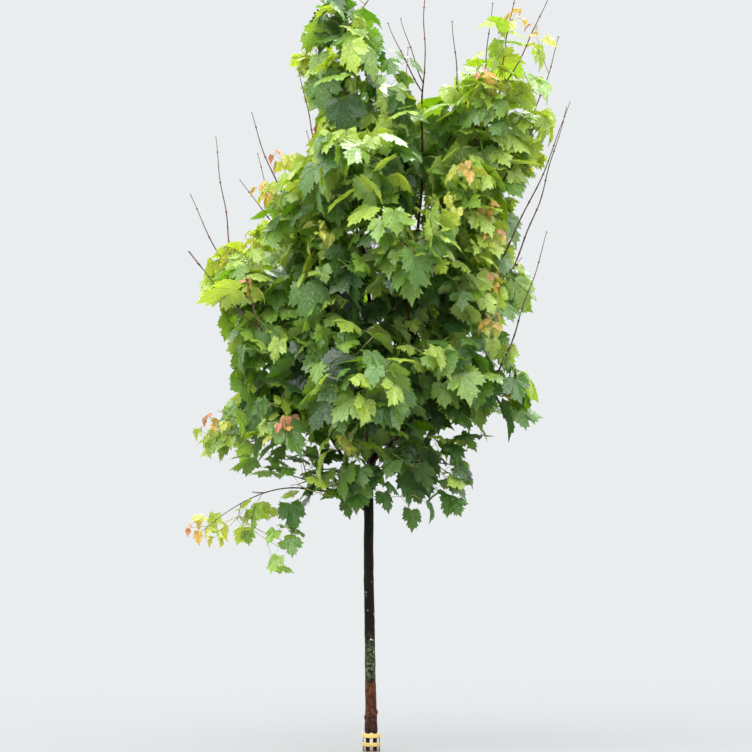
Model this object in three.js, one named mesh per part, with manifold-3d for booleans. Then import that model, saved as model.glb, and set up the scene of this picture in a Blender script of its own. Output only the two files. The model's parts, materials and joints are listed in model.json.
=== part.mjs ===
// A young maple tree in full leaf: a slim trunk that runs up into an open, upright crown, a second
// leader, boughs all round, masses of long-stalked leaves on opposite twigs, bare whips that stand out
// of the top, and a slatted guard round the foot of the trunk.
// Millimetres, +Z up. The trunk's flat cut stands on z = 0, and the tree is seen along +Y.

import * as THREE from "three";
import { mergeVertices } from "three/addons/utils/BufferGeometryUtils.js";
import Module from "manifold-3d";

const wasm = await Module();
wasm.setup();

// Clearances
const GAP = 0.3; // between two pieces that meet
const LIMB_CLEAR = 2; // least room between a leaf and a limb that it doesn't grow from
const SIMPLIFY = 0.01; // how far a corner on a flat face may be moved to be left out
const SPACE_CLEAR = 5; // least room between a mass's leaves and the edge of its own space

// Root flare and guard
// How far the foot stands out, the height over which that fades, and how sharply
const FLARE = { out: 8, fade: 40, power: 1.3 };
const GUARD = {
  sides: 18,
  slats: 7,
  slatWidth: 15,
  slatThick: 2.2,
  height: 98,
  footRing: 9,
  bandThick: 2,
  bands: [
    { name: "guard_band_lower", from: 33, to: 51 },
    { name: "guard_band_upper", from: 74, to: 94 },
  ],
};

// Limbs that carry the crown. A limb is a curve through its points, with a radius at its foot and tip.
const TRUNK = {
  through: [
    [0, 0, 0],
    [-12, 3, 1180],
    [26, 0, 1490],
    [172, 12, 1829],
    [202, 15, 2300],
    [243, 0, 2729],
    [240, 0, 3052],
  ],
  // height up the trunk and radius there
  taper: [
    [0, 31],
    [120, 31],
    [220, 27],
    [350, 25],
    [1180, 22],
    [1480, 18],
    [1830, 10.5],
    [2300, 7.5],
    [3052, 4.8],
  ],
};

// Each bough leaves its parent at a height and bends once on the way to its tip. bow is how far its
// middle hangs out and down from the straight line, as a share of its length.
const BOUGHS = {
  leader_left: {
    from: "trunk", height: 1500, tip: [-72, -35, 2640], radii: [12, 6.6],
    via: [-10, -30, 2162],
  },
  bough_low_left: { from: "trunk", height: 1240, tip: [-185, -70, 1490], radii: [10.5, 7], bow: 0.03 },
  bough_low_twig: { from: "trunk", height: 1190, tip: [-335, -70, 1262], radii: [6, 5.4], bow: -0.06 },
  bough_low_right: { from: "trunk", height: 1385, tip: [200, -50, 1600], radii: [9.5, 7], bow: 0.05 },
  bough_low_front: { from: "trunk", height: 1300, tip: [-20, -190, 1470], radii: [8.5, 6.6], bow: 0.06 },
  bough_low_back: { from: "trunk", height: 1330, tip: [30, 190, 1500], radii: [8.5, 6.6], bow: 0.06 },
  bough_mid_left: { from: "leader_left", height: 1640, tip: [-200, -25, 1745], radii: [8, 6.6], bow: 0.04 },
  bough_left_back: { from: "leader_left", height: 1790, tip: [-130, 150, 1950], radii: [7.5, 6.4], bow: 0.05 },
  bough_right_back: { from: "trunk", height: 1700, tip: [240, 170, 1850], radii: [8, 6.4], bow: 0.05 },
  bough_mid_right: { from: "trunk", height: 1840, tip: [340, 10, 1985], radii: [8, 6.6], bow: 0.06 },
  bough_mid_front: { from: "trunk", height: 1930, tip: [175, -180, 2090], radii: [7.5, 6.4], bow: 0.05 },
  bough_high_left: { from: "leader_left", height: 1990, tip: [-140, -45, 2120], radii: [7.5, 6.4], bow: 0.05 },
  bough_high_right: { from: "trunk", height: 2170, tip: [335, -20, 2430], radii: [7.5, 6.4], bow: 0.08 },
  bough_high_front: { from: "leader_left", height: 2290, tip: [-60, -160, 2440], radii: [7, 6], bow: 0.05 },
  bough_high_back: { from: "trunk", height: 2380, tip: [180, 160, 2530], radii: [7, 6], bow: 0.05 },
};

// Each mass of leaves grows on one stem, from a bough's tip or, where at is given, from the side of a
// limb at that height. reach is the length of its longest side twigs, and whips are the tips of its
// leafless shoots.
const MASSES = {
  leaves_droop_left: { on: "bough_low_twig", tip: [-800, -110, 1060], reach: 130, lift: 0.5 },
  leaves_low_left: { on: "bough_low_left", tip: [-700, -150, 1580], reach: 270 },
  leaves_left_outer: {
    on: "bough_mid_left", tip: [-670, -60, 2320], reach: 250,
    whips: [[-869, -80, 2386], [-860, -60, 2657], [-745, 60, 2940]],
  },
  leaves_left_upper: {
    on: "bough_high_left", tip: [-421, -60, 2660], reach: 230,
    whips: [[-626, -40, 2729], [-569, -70, 3048]],
  },
  leaves_left_back: { on: "bough_left_back", tip: [-430, 440, 2430], reach: 260, whips: [[-560, 560, 2900]] },
  leaves_low_front: { on: "bough_low_front", tip: [-60, -620, 1760], reach: 270 },
  leaves_low_back: { on: "bough_low_back", tip: [70, 630, 1780], reach: 270 },
  leaves_low_right: {
    on: "bough_low_right", tip: [680, -110, 1760], reach: 260,
    whips: [[831, -120, 2476]],
  },
  leaves_right_mid: {
    on: "bough_mid_right", tip: [700, 30, 2330], reach: 230,
    whips: [[950, 40, 3105], [936, 90, 3086]],
  },
  leaves_right_back: { on: "bough_right_back", tip: [500, 480, 2330], reach: 260, whips: [[640, 600, 2860]] },
  leaves_mid_front: { on: "bough_mid_front", tip: [170, -600, 2450], reach: 260 },
  leaves_high_right: {
    on: "bough_high_right", tip: [640, -60, 3210], reach: 320,
    whips: [[578, -40, 3572], [690, -80, 3640], [862, -70, 3640]],
  },
  leaves_right_edge: {
    on: "trunk", at: 2250, tip: [790, 60, 3010], reach: 190,
    whips: [[895, 40, 3419]],
  },
  leaves_centre_right: { on: "trunk", at: 2780, tip: [455, 60, 3110], reach: 190 },
  leaves_high_front: { on: "bough_high_front", tip: [-110, -450, 2850], reach: 230 },
  leaves_high_back: { on: "bough_high_back", tip: [150, 470, 2960], reach: 240, whips: [[180, 560, 3420]] },
  leaves_left_inner: { on: "leader_left", at: 2080, tip: [-210, -290, 2330], reach: 200 },
  leaves_leader_mid: {
    on: "leader_left", at: 2500, tip: [-290, -40, 2880], reach: 210,
    whips: [[-347, -20, 3257], [-310, 50, 2968]],
  },
  leaves_leader_top: {
    on: "leader_left", tip: [-126, -20, 3640], reach: 330,
    whips: [[60, -10, 3700]],
  },
  leaves_centre_upper: {
    on: "trunk", at: 2600, tip: [66, -50, 3040], reach: 210,
    whips: [[79, -40, 3476]],
  },
  leaves_trunk_top: {
    on: "trunk", tip: [255, 0, 3250], reach: 140,
    whips: [[257, 0, 3850], [140, 20, 3505], [386, 10, 3490]],
  },
  leaves_right_upper: { on: "trunk", at: 2330, tip: [470, -200, 2640], reach: 220 },
  leaves_right_inner: { on: "trunk", at: 2080, tip: [420, -300, 2230], reach: 220 },
  leaves_left_front: { on: "leader_left", at: 1830, tip: [-240, -290, 2000], reach: 220 },
  leaves_right_front: { on: "trunk", at: 1620, tip: [350, -320, 1880], reach: 230 },
  leaves_right_bottom: { on: "trunk", at: 1310, tip: [400, -140, 1370], reach: 200 },
  leaves_left_bottom: { on: "trunk", at: 1140, tip: [-400, -210, 1330], reach: 210 },
  leaves_left_middle: { on: "leader_left", at: 1560, tip: [-520, -200, 1960], reach: 240 },
  leaves_right_side: { on: "trunk", at: 1560, tip: [480, 60, 1680], reach: 210 },
};

// A stem on the side of a limb sets out level and up in these shares.
const STEM_START = { level: 0.8, up: 0.6 };
const STEM_BEND = 0.42; // how far along a stem its bend stands
const STEM_STEP = 170; // length of a stem's straight stretches
const STEM_RADII = [0.98, 0.72]; // a stem's foot and tip, as shares of the limb's tip
const SIDE_STEM = 6.2; // radius of a stem's foot on the side of a limb
const STEM_LEAVES = 0.3; // where the size of its own leaves stands in the range

// Whips
const WHIP_SHARES = [0.5, 0.94]; // where along a stem its lowest and highest whips stand
const LONE_WHIP = 0.7; // where between those a lone whip stands
const WHIP_SAG = 0.22; // how far below the straight line to its tip a whip sets out
const WHIP_BEND = 0.45;
const WHIP_RADII = [3, 1.5];
const WHIP_RINGS = { sides: 3, steps: 3 };

// Side twigs, in pairs that stand crosswise by turns
const NODE_EVERY = 195; // along a stem
const NODE_SHARES = [0.2, 0.94]; // where along a stem its nodes stand
const TWIG_ANGLE = { middle: 50, spread: 12 }; // degrees between a side twig and its stem
const TWIG_TWIST = 0.25; // radians by which a twig may stand off its turn
const TWIG_LENGTH = { foot: 1.15, loss: 0.72, spread: [0.8, 1.15] }; // shares of the mass's reach
const TWIG_LIFT = 0.16; // of a twig's length, by which its tip lifts
const TWIG_TESTS = [0.5, 0.8, 1]; // where along a twig it is tested against the mass's space
const TWIG_RADII = [3.1, 2.9];
const TWIG_RINGS = { sides: 3, steps: 2 };
const TWIG_ATTEMPTS = { most: 4, shorter: 0.18 }; // each a share shorter than the first

// Leaves along a twig
const LEAF_EVERY = 72;
const LEAFY_SHARE = 0.8; // of a twig, from its tip
const LEAF_SHARES = [0.1, 0.985]; // how near its foot and its tip a twig may bear a leaf
const LEAF_TWIST = 14; // degrees by which a leaf may stand off its turn
const PAIRED_NODES = 3; // nodes at a twig's tip that bear a pair of leaves
const LEAF_ATTEMPTS = { most: 12, smaller: 0.03 };
const LEAF_WIDTH = [190, 260]; // a little larger than life
const TIP_LEAF = 0.86; // size of the pair at a twig's tip
const YOUTH = 0.28; // how much smaller the leaves are at a stem's tip than at its foot
const ROOT_VOLUME = 1; // least volume that a leaf shares with its twig
const ROOT_REACH = 9; // how far from its root a leaf may still touch its own twig

// One leaf, as shares of its width, and the ranges of its pose, in shares and degrees
const STALK_SHARE = 0.5;
const LEAF_THICK = 0.03; // at its joint
const LEAST_DEPTH = 0.5; // least share of that thickness straight through the blade
const STALK_ROOT = 2.1; // mm, width of a stalk where it leaves its twig
const CROWN_AXIS = new THREE.Vector3(60, 0, 0);
const POSE = {
  width: [0.86, 1.12],
  stalkOut: 0.85,
  stalkAlong: [0.3, 0.7],
  stalkUp: [0.05, 0.4],
  stalkLength: [0.8, 1.2],
  outwards: 0.7,
  swing: 38,
  fall: [30, 80],
  roll: 30,
};

// Colours from the photo
const BARK = { color: 0x2b1d16, roughness: 0.55, metalness: 0 };
const LEAF = { color: 0x4c7a2a, roughness: 0.5, metalness: 0 };
const SLAT = { color: 0xd8d4c8, roughness: 0.5, metalness: 0 };
const BAND = { color: 0xe8c95a, roughness: 0.45, metalness: 0 };

const UP = new THREE.Vector3(0, 0, 1);
const AWAY = new THREE.Vector3(0, 1, 0);
const STEEP = 0.94; // a curve whose chord rises more than this can't take its level direction from UP
const vector = (p) => new THREE.Vector3(...p);
const radians = THREE.MathUtils.degToRad;

// A number from 0 up to 1 that depends only on the whole numbers given, so that each twig and leaf
// keeps its own chance values whatever is grown before it.
function chance(...keys) {
  let h = 0x9e3779b9;
  for (const key of keys) {
    h = Math.imul(h ^ key, 0x85ebca6b);
    h = Math.imul(h ^ (h >>> 13), 0xc2b2ae35);
    h ^= h >>> 16;
  }
  return (h >>> 0) / 2 ** 32;
}

const between = (low, high, share) => low + (high - low) * share;

const centroid = (points) =>
  points.reduce((sum, p) => sum.add(p), new THREE.Vector3()).divideScalar(points.length);

// Solids

// Where a tube's first corner stands, so that twigs and leaves leave it near the middle of a face.
const FIRST_CORNER = { 3: Math.PI / 2, 4: Math.PI / 4, 6: 0, 8: 0, 12: 0 };
// The turns at which a pair of leaves leaves a tube, at its even and at its odd nodes, in degrees
const LEAF_TURNS = {
  3: [
    [30, 150],
    [270, 30],
  ],
  4: [
    [0, 180],
    [90, 270],
  ],
};

function solidOf(geometry) {
  const bare = geometry.clone();
  bare.deleteAttribute("normal");
  bare.deleteAttribute("uv");
  const merged = mergeVertices(bare, 1e-4);
  return new wasm.Manifold(
    new wasm.Mesh({
      numProp: 3,
      vertProperties: Float32Array.from(merged.attributes.position.array),
      triVerts: Uint32Array.from(merged.index.array),
    }),
  );
}

function geometryOf(solid) {
  const { numProp, numVert, vertProperties, triVerts } = solid.getMesh();
  const positions = new Float32Array(numVert * 3);
  for (let i = 0; i < numVert; i++) {
    positions.set(vertProperties.subarray(i * numProp, i * numProp + 3), i * 3);
  }
  const geometry = new THREE.BufferGeometry();
  geometry.setAttribute("position", new THREE.BufferAttribute(positions, 3));
  geometry.setIndex(new THREE.BufferAttribute(Uint32Array.from(triVerts), 1));
  return geometry;
}

function indexedGeometry(points, faces) {
  const geometry = new THREE.BufferGeometry();
  geometry.setAttribute("position", new THREE.Float32BufferAttribute(points.flatMap((p) => p.toArray()), 3));
  geometry.setIndex(faces.flat());
  return geometry;
}

// A limb, stem or twig: rings of corners across a curve, with a flat end at each side. crowd above 1
// brings the rings nearer together towards the foot, and levelFoot turns the first ring level.
function taperedTube(curve, radiusAt, { sides, steps, crowd = 1, levelFoot = false }, grow = 0) {
  const points = [];
  const faces = [];
  for (let i = 0; i <= steps; i++) {
    const share = (i / steps) ** crowd;
    const centre = curve.getPointAt(share);
    const frame = across(curve, share);
    const radius = radiusAt(share) + grow;
    for (let j = 0; j < sides; j++) {
      const turn = (2 * Math.PI * j) / sides + FIRST_CORNER[sides];
      const corner = centre.clone().addScaledVector(sideways(frame, turn), radius);
      if (i === 0 && levelFoot) corner.z = centre.z;
      points.push(corner);
    }
  }
  for (let i = 0; i < steps; i++) {
    for (let j = 0; j < sides; j++) {
      const [a, b] = [i * sides + j, i * sides + ((j + 1) % sides)];
      faces.push([a, b, a + sides], [b, b + sides, a + sides]);
    }
  }
  const last = steps * sides;
  for (let j = 1; j < sides - 1; j++) {
    faces.push([0, j + 1, j], [last, last + j, last + j + 1]);
  }
  return indexedGeometry(points, faces);
}

// Curves

// Two directions across a curve at a share of its length: a level one and one that rises.
function across(curve, share) {
  const along = curve.getTangentAt(share);
  const chord = curve.getPointAt(1).sub(curve.getPointAt(0)).normalize();
  const reference = Math.abs(chord.z) < STEEP ? UP : AWAY;
  const level = new THREE.Vector3().crossVectors(reference, along).normalize();
  return { along, level, rise: new THREE.Vector3().crossVectors(along, level) };
}

// The axis of a tube of so many straight steps at a share of its length: the line its corners stand round.
function axisAt(curve, steps, share) {
  const step = Math.min(Math.floor(share * steps), steps - 1);
  return curve.getPointAt(step / steps).lerp(curve.getPointAt((step + 1) / steps), share * steps - step);
}

const sideways = ({ level, rise }, turn) =>
  level.clone().multiplyScalar(Math.cos(turn)).addScaledVector(rise, Math.sin(turn));

// A bend from start to tip that sets out in a direction, which is a share of the way long.
function bend(start, direction, tip, share = 0.5) {
  const middle = start.clone().addScaledVector(direction, share * start.distanceTo(tip));
  return new THREE.QuadraticBezierCurve3(start, middle, tip);
}

// The share along a limb's curve at which it passes a height. Every carrying limb climbs all the way.
function shareAtHeight(curve, height) {
  let [low, high] = [0, 1];
  for (let i = 0; i < 30; i++) {
    const middle = (low + high) / 2;
    if (curve.getPointAt(middle).z < height) low = middle;
    else high = middle;
  }
  return low;
}

function radiusFromTable(table, height) {
  const next = table.findIndex(([at]) => at >= height);
  if (next < 1) return table[next < 0 ? table.length - 1 : 0][1];
  const [[lowAt, low], [highAt, high]] = [table[next - 1], table[next]];
  return between(low, high, (height - lowAt) / (highAt - lowAt));
}

function makeTrunk() {
  const curve = new THREE.CatmullRomCurve3(TRUNK.through.map(vector), false, "catmullrom", 0.5);
  const radiusAt = (t) => {
    const height = curve.getPointAt(t).z;
    const flare = FLARE.out * Math.exp(-((height / FLARE.fade) ** FLARE.power));
    return radiusFromTable(TRUNK.taper, height) + flare;
  };
  return { curve, radiusAt, rings: { sides: 12, steps: 20, crowd: 1.6, levelFoot: true } };
}

function makeBough(bough, parent) {
  const start = parent.curve.getPointAt(shareAtHeight(parent.curve, bough.height));
  const tip = vector(bough.tip);
  const length = start.distanceTo(tip);
  let curve;
  if (bough.via) {
    curve = new THREE.CatmullRomCurve3([start, vector(bough.via), tip], false, "catmullrom", 0.5);
  } else {
    const out = tip.clone().sub(start).setZ(0).normalize();
    const middle = start
      .clone()
      .lerp(tip, 0.5)
      .addScaledVector(out, bough.bow * length)
      .addScaledVector(UP, -bough.bow * length);
    curve = new THREE.QuadraticBezierCurve3(start, middle, tip);
  }
  return {
    curve,
    radiusAt: (t) => between(...bough.radii, t),
    rings: bough.via ? { sides: 8, steps: 8 } : { sides: 6, steps: 3 },
    parent,
  };
}

const limbs = { trunk: makeTrunk() };
for (const [name, bough] of Object.entries(BOUGHS)) limbs[name] = makeBough(bough, limbs[bough.from]);

// A limb's solid. Grown by the gap, it is what cuts the foot of each piece that meets it.
function limbSolid({ curve, radiusAt, rings }, grow = 0) {
  return solidOf(taperedTube(curve, radiusAt, rings, grow));
}

for (const limb of Object.values(limbs)) {
  limb.grown = limbSolid(limb, GAP);
  limb.solid = limbSolid(limb);
  if (limb.parent) limb.solid = limb.solid.subtract(limb.parent.grown).asOriginal().simplify(SIMPLIFY);
}

// A mass's skeleton: its stem and its whips

function makeStem(mass) {
  const limb = limbs[mass.on];
  const tip = vector(mass.tip);
  const foot = mass.at ? shareAtHeight(limb.curve, mass.at) : 1;
  const start = limb.curve.getPointAt(foot);
  const away = limb.curve.getTangentAt(foot);
  if (mass.at) {
    away.copy(tip).sub(start).setZ(0).normalize().multiplyScalar(STEM_START.level);
    away.addScaledVector(UP, STEM_START.up);
  } else {
    start.addScaledVector(away, GAP);
  }
  const radius = mass.at ? SIDE_STEM : limb.radiusAt(1);
  const curve = bend(start, away.normalize(), tip, STEM_BEND);
  return { curve, radius, limb, steps: Math.max(2, Math.round(curve.getLength() / STEM_STEP)) };
}

function makeWhip(stem, tipPoint, order) {
  const tip = vector(tipPoint);
  const start = axisAt(stem.curve, stem.steps, between(...WHIP_SHARES, order));
  const out = tip.clone().sub(start).normalize().addScaledVector(UP, -WHIP_SAG).normalize();
  return bend(start, out, tip, WHIP_BEND);
}

const masses = Object.entries(MASSES).map(([name, mass], seed) => {
  const stem = makeStem(mass);
  const whips = (mass.whips ?? []).map((tip, i, all) =>
    makeWhip(stem, tip, all.length > 1 ? i / (all.length - 1) : LONE_WHIP),
  );
  return { name, seed, ...mass, stem, whips, twigs: [], shoots: [], leaves: [] };
});

// The space that a mass keeps to is all that lies nearer to its own stem than to any other's.
function distanceToStem(mass, point) {
  if (!mass.stretches) {
    const points = mass.stem.curve.getPoints(8);
    mass.stretches = points.slice(1).map((end, i) => new THREE.Line3(points[i], end));
  }
  const nearest = new THREE.Vector3();
  let best = Infinity;
  for (const line of mass.stretches) {
    line.closestPointToPoint(point, true, nearest);
    best = Math.min(best, nearest.distanceTo(point));
  }
  return best;
}

function inOwnSpace(mass, points) {
  return points.every((point) => {
    if (point.z < SPACE_CLEAR) return false;
    const own = distanceToStem(mass, point) + 2 * SPACE_CLEAR;
    return masses.every((other) => other === mass || distanceToStem(other, point) > own);
  });
}

// Leaves

// The corners of half a leaf's blade, from the notch at its stalk round to its tip, as shares of the
// leaf's width: across, along the midrib, and down.
const HALF_BLADE = [
  [0.017, -0.01, 0],
  [0.4, -0.12, 0.05],
  [0.53, 0.38, 0.13],
  [0.23, 0.4, 0.03],
];
const BLADE_TIP = [0, 0.8, 0.14];

function leafFrame(leaf) {
  const { midrib, face } = leaf;
  const side = new THREE.Vector3().crossVectors(midrib, face).normalize();
  return ([x, y, down], mirror = 1) =>
    leaf.joint
      .clone()
      .addScaledVector(side, mirror * x * leaf.width)
      .addScaledVector(midrib, y * leaf.width)
      .addScaledVector(face, -down * leaf.width);
}

function leafOutline(leaf) {
  const place = leafFrame(leaf);
  return [
    ...HALF_BLADE.map((corner) => place(corner)),
    place(BLADE_TIP),
    ...HALF_BLADE.toReversed().map((corner) => place(corner, -1)),
  ];
}

// The corner under the joint. It stands where the stalk's upper end faces along the stalk.
function underCorner(leaf, stalk) {
  const slant = Math.atan2(stalk.dot(leaf.face), stalk.dot(leaf.midrib));
  const depth = LEAF_THICK * leaf.width;
  return leaf.joint
    .clone()
    .addScaledVector(leaf.face, -Math.max(LEAST_DEPTH * depth, depth * Math.cos(slant)))
    .addScaledVector(leaf.midrib, Math.max(0, depth * Math.sin(slant)));
}

// A leaf is a blade that falls away from its joint in a low tent, on a three-sided stalk whose root
// is sunk in the twig. The stalk's sides are flat, since its root is its upper end made smaller.
function leafSolid(leaf) {
  const outline = leafOutline(leaf);
  const stalk = leaf.joint.clone().sub(leaf.root).normalize();
  const under = underCorner(leaf, stalk);
  const upper = [outline[0], outline.at(-1), under];
  const middle = centroid(upper);
  const scale = STALK_ROOT / upper[0].distanceTo(upper[1]);
  const root = upper.map((corner) => corner.clone().sub(middle).multiplyScalar(scale).add(leaf.root));
  const points = [...outline, under, ...root];
  const last = outline.length - 1;
  const tip = last / 2;
  const [U, R0, R1, R2] = [last + 1, last + 2, last + 3, last + 4];
  const faces = [[0, tip, last]];
  for (let i = 1; i < tip; i++) faces.push([0, i, i + 1]);
  for (let i = tip; i < last - 1; i++) faces.push([last, i, i + 1]);
  for (let i = 0; i < last; i++) faces.push([U, i + 1, i]);
  faces.push([0, last, R1], [0, R1, R0], [last, U, R2], [last, R2, R1], [U, 0, R0], [U, R0, R2]);
  faces.push([R0, R1, R2]);
  return solidOf(indexedGeometry(points, faces));
}

const leafTestPoints = (leaf) => {
  const outline = leafOutline(leaf);
  return [
    ...outline,
    ...outline.map((corner) => corner.clone().lerp(leaf.joint, 0.5)),
    leaf.joint.clone().lerp(leaf.root, 0.5),
  ];
};

// One leaf from a node: its stalk leaves the twig at a slant, and its blade hangs outwards and down.
function makeLeaf(root, frame, turn, size, keys) {
  const [length, lean, swing, dip, roll, sink] = [0, 1, 2, 3, 4, 5].map((k) => chance(...keys, k));
  const side = sideways(frame, turn);
  const width = size * between(...POSE.width, length);
  const stalk = side
    .clone()
    .multiplyScalar(POSE.stalkOut)
    .addScaledVector(frame.along, between(...POSE.stalkAlong, lean))
    .addScaledVector(UP, between(...POSE.stalkUp, sink))
    .normalize();
  const reach = width * STALK_SHARE * between(...POSE.stalkLength, lean);
  const joint = root.clone().addScaledVector(stalk, reach);
  const outwards = new THREE.Vector3(joint.x - CROWN_AXIS.x, joint.y - CROWN_AXIS.y, 0).normalize();
  const heading = stalk.clone().setZ(0).normalize().addScaledVector(outwards, POSE.outwards).normalize();
  heading.applyAxisAngle(UP, radians(between(-POSE.swing, POSE.swing, swing)));
  const fall = radians(between(...POSE.fall, dip));
  const midrib = heading.clone().multiplyScalar(Math.cos(fall)).addScaledVector(UP, -Math.sin(fall));
  const face = heading.clone().multiplyScalar(Math.sin(fall)).addScaledVector(UP, Math.cos(fall));
  face.applyAxisAngle(midrib, radians(between(-POSE.roll, POSE.roll, roll)));
  return { root, joint, midrib, face, width };
}

// Growth

const whipSolid = (whip, grow) =>
  solidOf(taperedTube(whip, (t) => between(...WHIP_RADII, t), WHIP_RINGS, grow));

// What a mass's twigs and leaves keep clear of: every limb, and every other mass's whips.
function obstacles(mass) {
  const others = masses.filter((other) => other !== mass);
  mass.obstacles ??= wasm.Manifold.union([
    ...Object.values(limbs).map((limb) => limbSolid(limb, LIMB_CLEAR)),
    ...others.flatMap((other) => other.whips.map((whip) => whipSolid(whip, LIMB_CLEAR))),
  ]);
  return mass.obstacles;
}

// A leaf stands clear of the limbs, of the leaves already grown and of every twig but its own.
const fits = (solid, others) => others.every((other) => solid.intersect(other).isEmpty());

// A leaf meets its own twig only round its root, and firmly there.
function meetsAtRoot(solid, twig, root) {
  const common = solid.intersect(twig.solid);
  const { min, max } = common.boundingBox();
  const near = [min, max].every((corner) => root.distanceTo(vector(corner)) < ROOT_REACH);
  return near && common.volume() > ROOT_VOLUME;
}

function growLeaf(mass, twig, node, side, others) {
  const { curve, length, size, keys } = twig;
  const share = Math.max(LEAF_SHARES[0], LEAF_SHARES[1] - (node * LEAF_EVERY) / length);
  const frame = across(curve, share);
  const root = axisAt(curve, twig.steps, share);
  const twist = between(-LEAF_TWIST, LEAF_TWIST, chance(...keys, node, 9));
  const turn = radians(LEAF_TURNS[twig.sides][node % 2][side] + twist);
  for (let attempt = 0; attempt < LEAF_ATTEMPTS.most; attempt++) {
    const width = size * (node ? 1 : TIP_LEAF) * (1 - LEAF_ATTEMPTS.smaller * attempt);
    const leaf = makeLeaf(root, frame, turn, width, [...keys, node, side, attempt]);
    if (!inOwnSpace(mass, leafTestPoints(leaf))) continue;
    const solid = leafSolid(leaf);
    if (!meetsAtRoot(solid, twig, root)) continue;
    if (!fits(solid, [obstacles(mass), ...mass.leaves, ...mass.shoots, ...others])) continue;
    mass.leaves.push(solid);
    twig.leaves++;
    return;
  }
}

// A twig ends in pairs of leaves, and has one leaf, on either side by turns, at each node below.
function growLeaves(mass, twig) {
  const others = mass.twigs.filter((other) => other !== twig).map((other) => other.solid);
  const nodes = Math.max(1, Math.floor((twig.length * LEAFY_SHARE) / LEAF_EVERY) + 1);
  for (let node = 0; node < nodes; node++) {
    growLeaf(mass, twig, node, node % 2, others);
    if (node < PAIRED_NODES) growLeaf(mass, twig, node, 1 - (node % 2), others);
  }
}

function growTwig(mass, start, direction, length, youth, keys) {
  // The stem and the other twig of the pair meet this one at its foot.
  const others = mass.twigs
    .slice(1)
    .filter((twig) => twig.keys[1] !== keys[1])
    .map((twig) => twig.solid);
  for (let attempt = 0; attempt < TWIG_ATTEMPTS.most; attempt++) {
    const reach = length * (1 - TWIG_ATTEMPTS.shorter * attempt);
    const tip = start
      .clone()
      .addScaledVector(direction, reach)
      .addScaledVector(UP, reach * TWIG_LIFT * (mass.lift ?? 1));
    const curve = bend(start, direction, tip);
    const tests = TWIG_TESTS.map((share) => curve.getPointAt(share));
    if (!inOwnSpace(mass, tests)) continue;
    const solid = solidOf(taperedTube(curve, (t) => between(...TWIG_RADII, t), TWIG_RINGS));
    if (!fits(solid, [obstacles(mass), ...others])) continue;
    const size = between(...LEAF_WIDTH, chance(...keys, 7)) * youth;
    mass.twigs.push({ solid, curve, ...TWIG_RINGS, length: reach, size, keys, leaves: 0 });
    return;
  }
}

function growTwigs(mass, { curve, steps, length }) {
  const nodes = Math.max(2, Math.round(length / NODE_EVERY));
  for (let node = 0; node < nodes; node++) {
    const share = between(...NODE_SHARES, (node + 0.5) / nodes);
    const frame = across(curve, share);
    for (const side of [0, 1]) {
      const keys = [mass.seed, node, side];
      const [twist, slant, reach] = [1, 2, 3].map((key) => chance(...keys, key));
      const turn = (node % 2) * (Math.PI / 2) + side * Math.PI + between(-TWIG_TWIST, TWIG_TWIST, twist);
      const angle = radians(TWIG_ANGLE.middle + between(-TWIG_ANGLE.spread, TWIG_ANGLE.spread, slant));
      const direction = frame.along
        .clone()
        .multiplyScalar(Math.cos(angle))
        .addScaledVector(sideways(frame, turn), Math.sin(angle));
      const spread = between(...TWIG_LENGTH.spread, reach);
      const full = mass.reach * (TWIG_LENGTH.foot - TWIG_LENGTH.loss * share) * spread;
      growTwig(mass, axisAt(curve, steps, share), direction, full, 1 - YOUTH * share, keys);
    }
  }
}

function growMass(mass) {
  const { curve, radius, limb, steps } = mass.stem;
  const stem = {
    solid: solidOf(taperedTube(curve, (t) => radius * between(...STEM_RADII, t), { sides: 4, steps })),
    curve,
    sides: 4,
    steps,
    length: curve.getLength(),
    size: between(...LEAF_WIDTH, STEM_LEAVES),
    keys: [mass.seed, 99],
    leaves: 0,
  };
  mass.twigs.push(stem);
  mass.shoots = mass.whips.map((whip) => whipSolid(whip));
  growTwigs(mass, stem);
  for (const twig of mass.twigs) growLeaves(mass, twig);
  const kept = mass.twigs.filter((twig) => twig === stem || twig.leaves > 0);
  const whole = wasm.Manifold.union([...kept.map((twig) => twig.solid), ...mass.shoots, ...mass.leaves]);
  return (mass.at ? whole.subtract(limb.grown) : whole).asOriginal().simplify(SIMPLIFY);
}

// The guard: slats on a foot ring that grips the root flare, in two yellow bands.

// A ring whose flats stand at the radii given.
function ring(inner, outer, from, to) {
  const corner = 1 / Math.cos(Math.PI / GUARD.sides);
  const profile = [
    [inner, from],
    [outer, from],
    [outer, to],
    [inner, to],
    [inner, from],
  ];
  const points = profile.map(([radius, height]) => new THREE.Vector2(radius * corner, height));
  const geometry = new THREE.LatheGeometry(points, GUARD.sides, Math.PI / GUARD.sides);
  return solidOf(geometry.rotateX(Math.PI / 2));
}

function makeGuard() {
  const inner = limbs.trunk.radiusAt(0) + GAP;
  const outer = inner + GUARD.slatThick;
  const slats = [ring(inner, outer, 0, GUARD.footRing)];
  for (let i = 0; i < GUARD.slats; i++) {
    const slat = new THREE.BoxGeometry(GUARD.slatThick, GUARD.slatWidth, GUARD.height);
    slat.translate(inner + GUARD.slatThick / 2, 0, GUARD.height / 2);
    slats.push(solidOf(slat.rotateZ((2 * Math.PI * (i + 0.25)) / GUARD.slats)));
  }
  const corner = Math.hypot(outer, GUARD.slatWidth / 2);
  const bands = GUARD.bands.map(({ name, from, to }) => ({
    name,
    solid: ring(corner + GAP, corner + GAP + GUARD.bandThick, from, to),
  }));
  return { cage: wasm.Manifold.union(slats), bands };
}

// The tree

function meshOf(name, solid, finish) {
  const mesh = new THREE.Mesh(geometryOf(solid), new THREE.MeshStandardMaterial(finish));
  mesh.name = name;
  return mesh;
}

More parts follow.
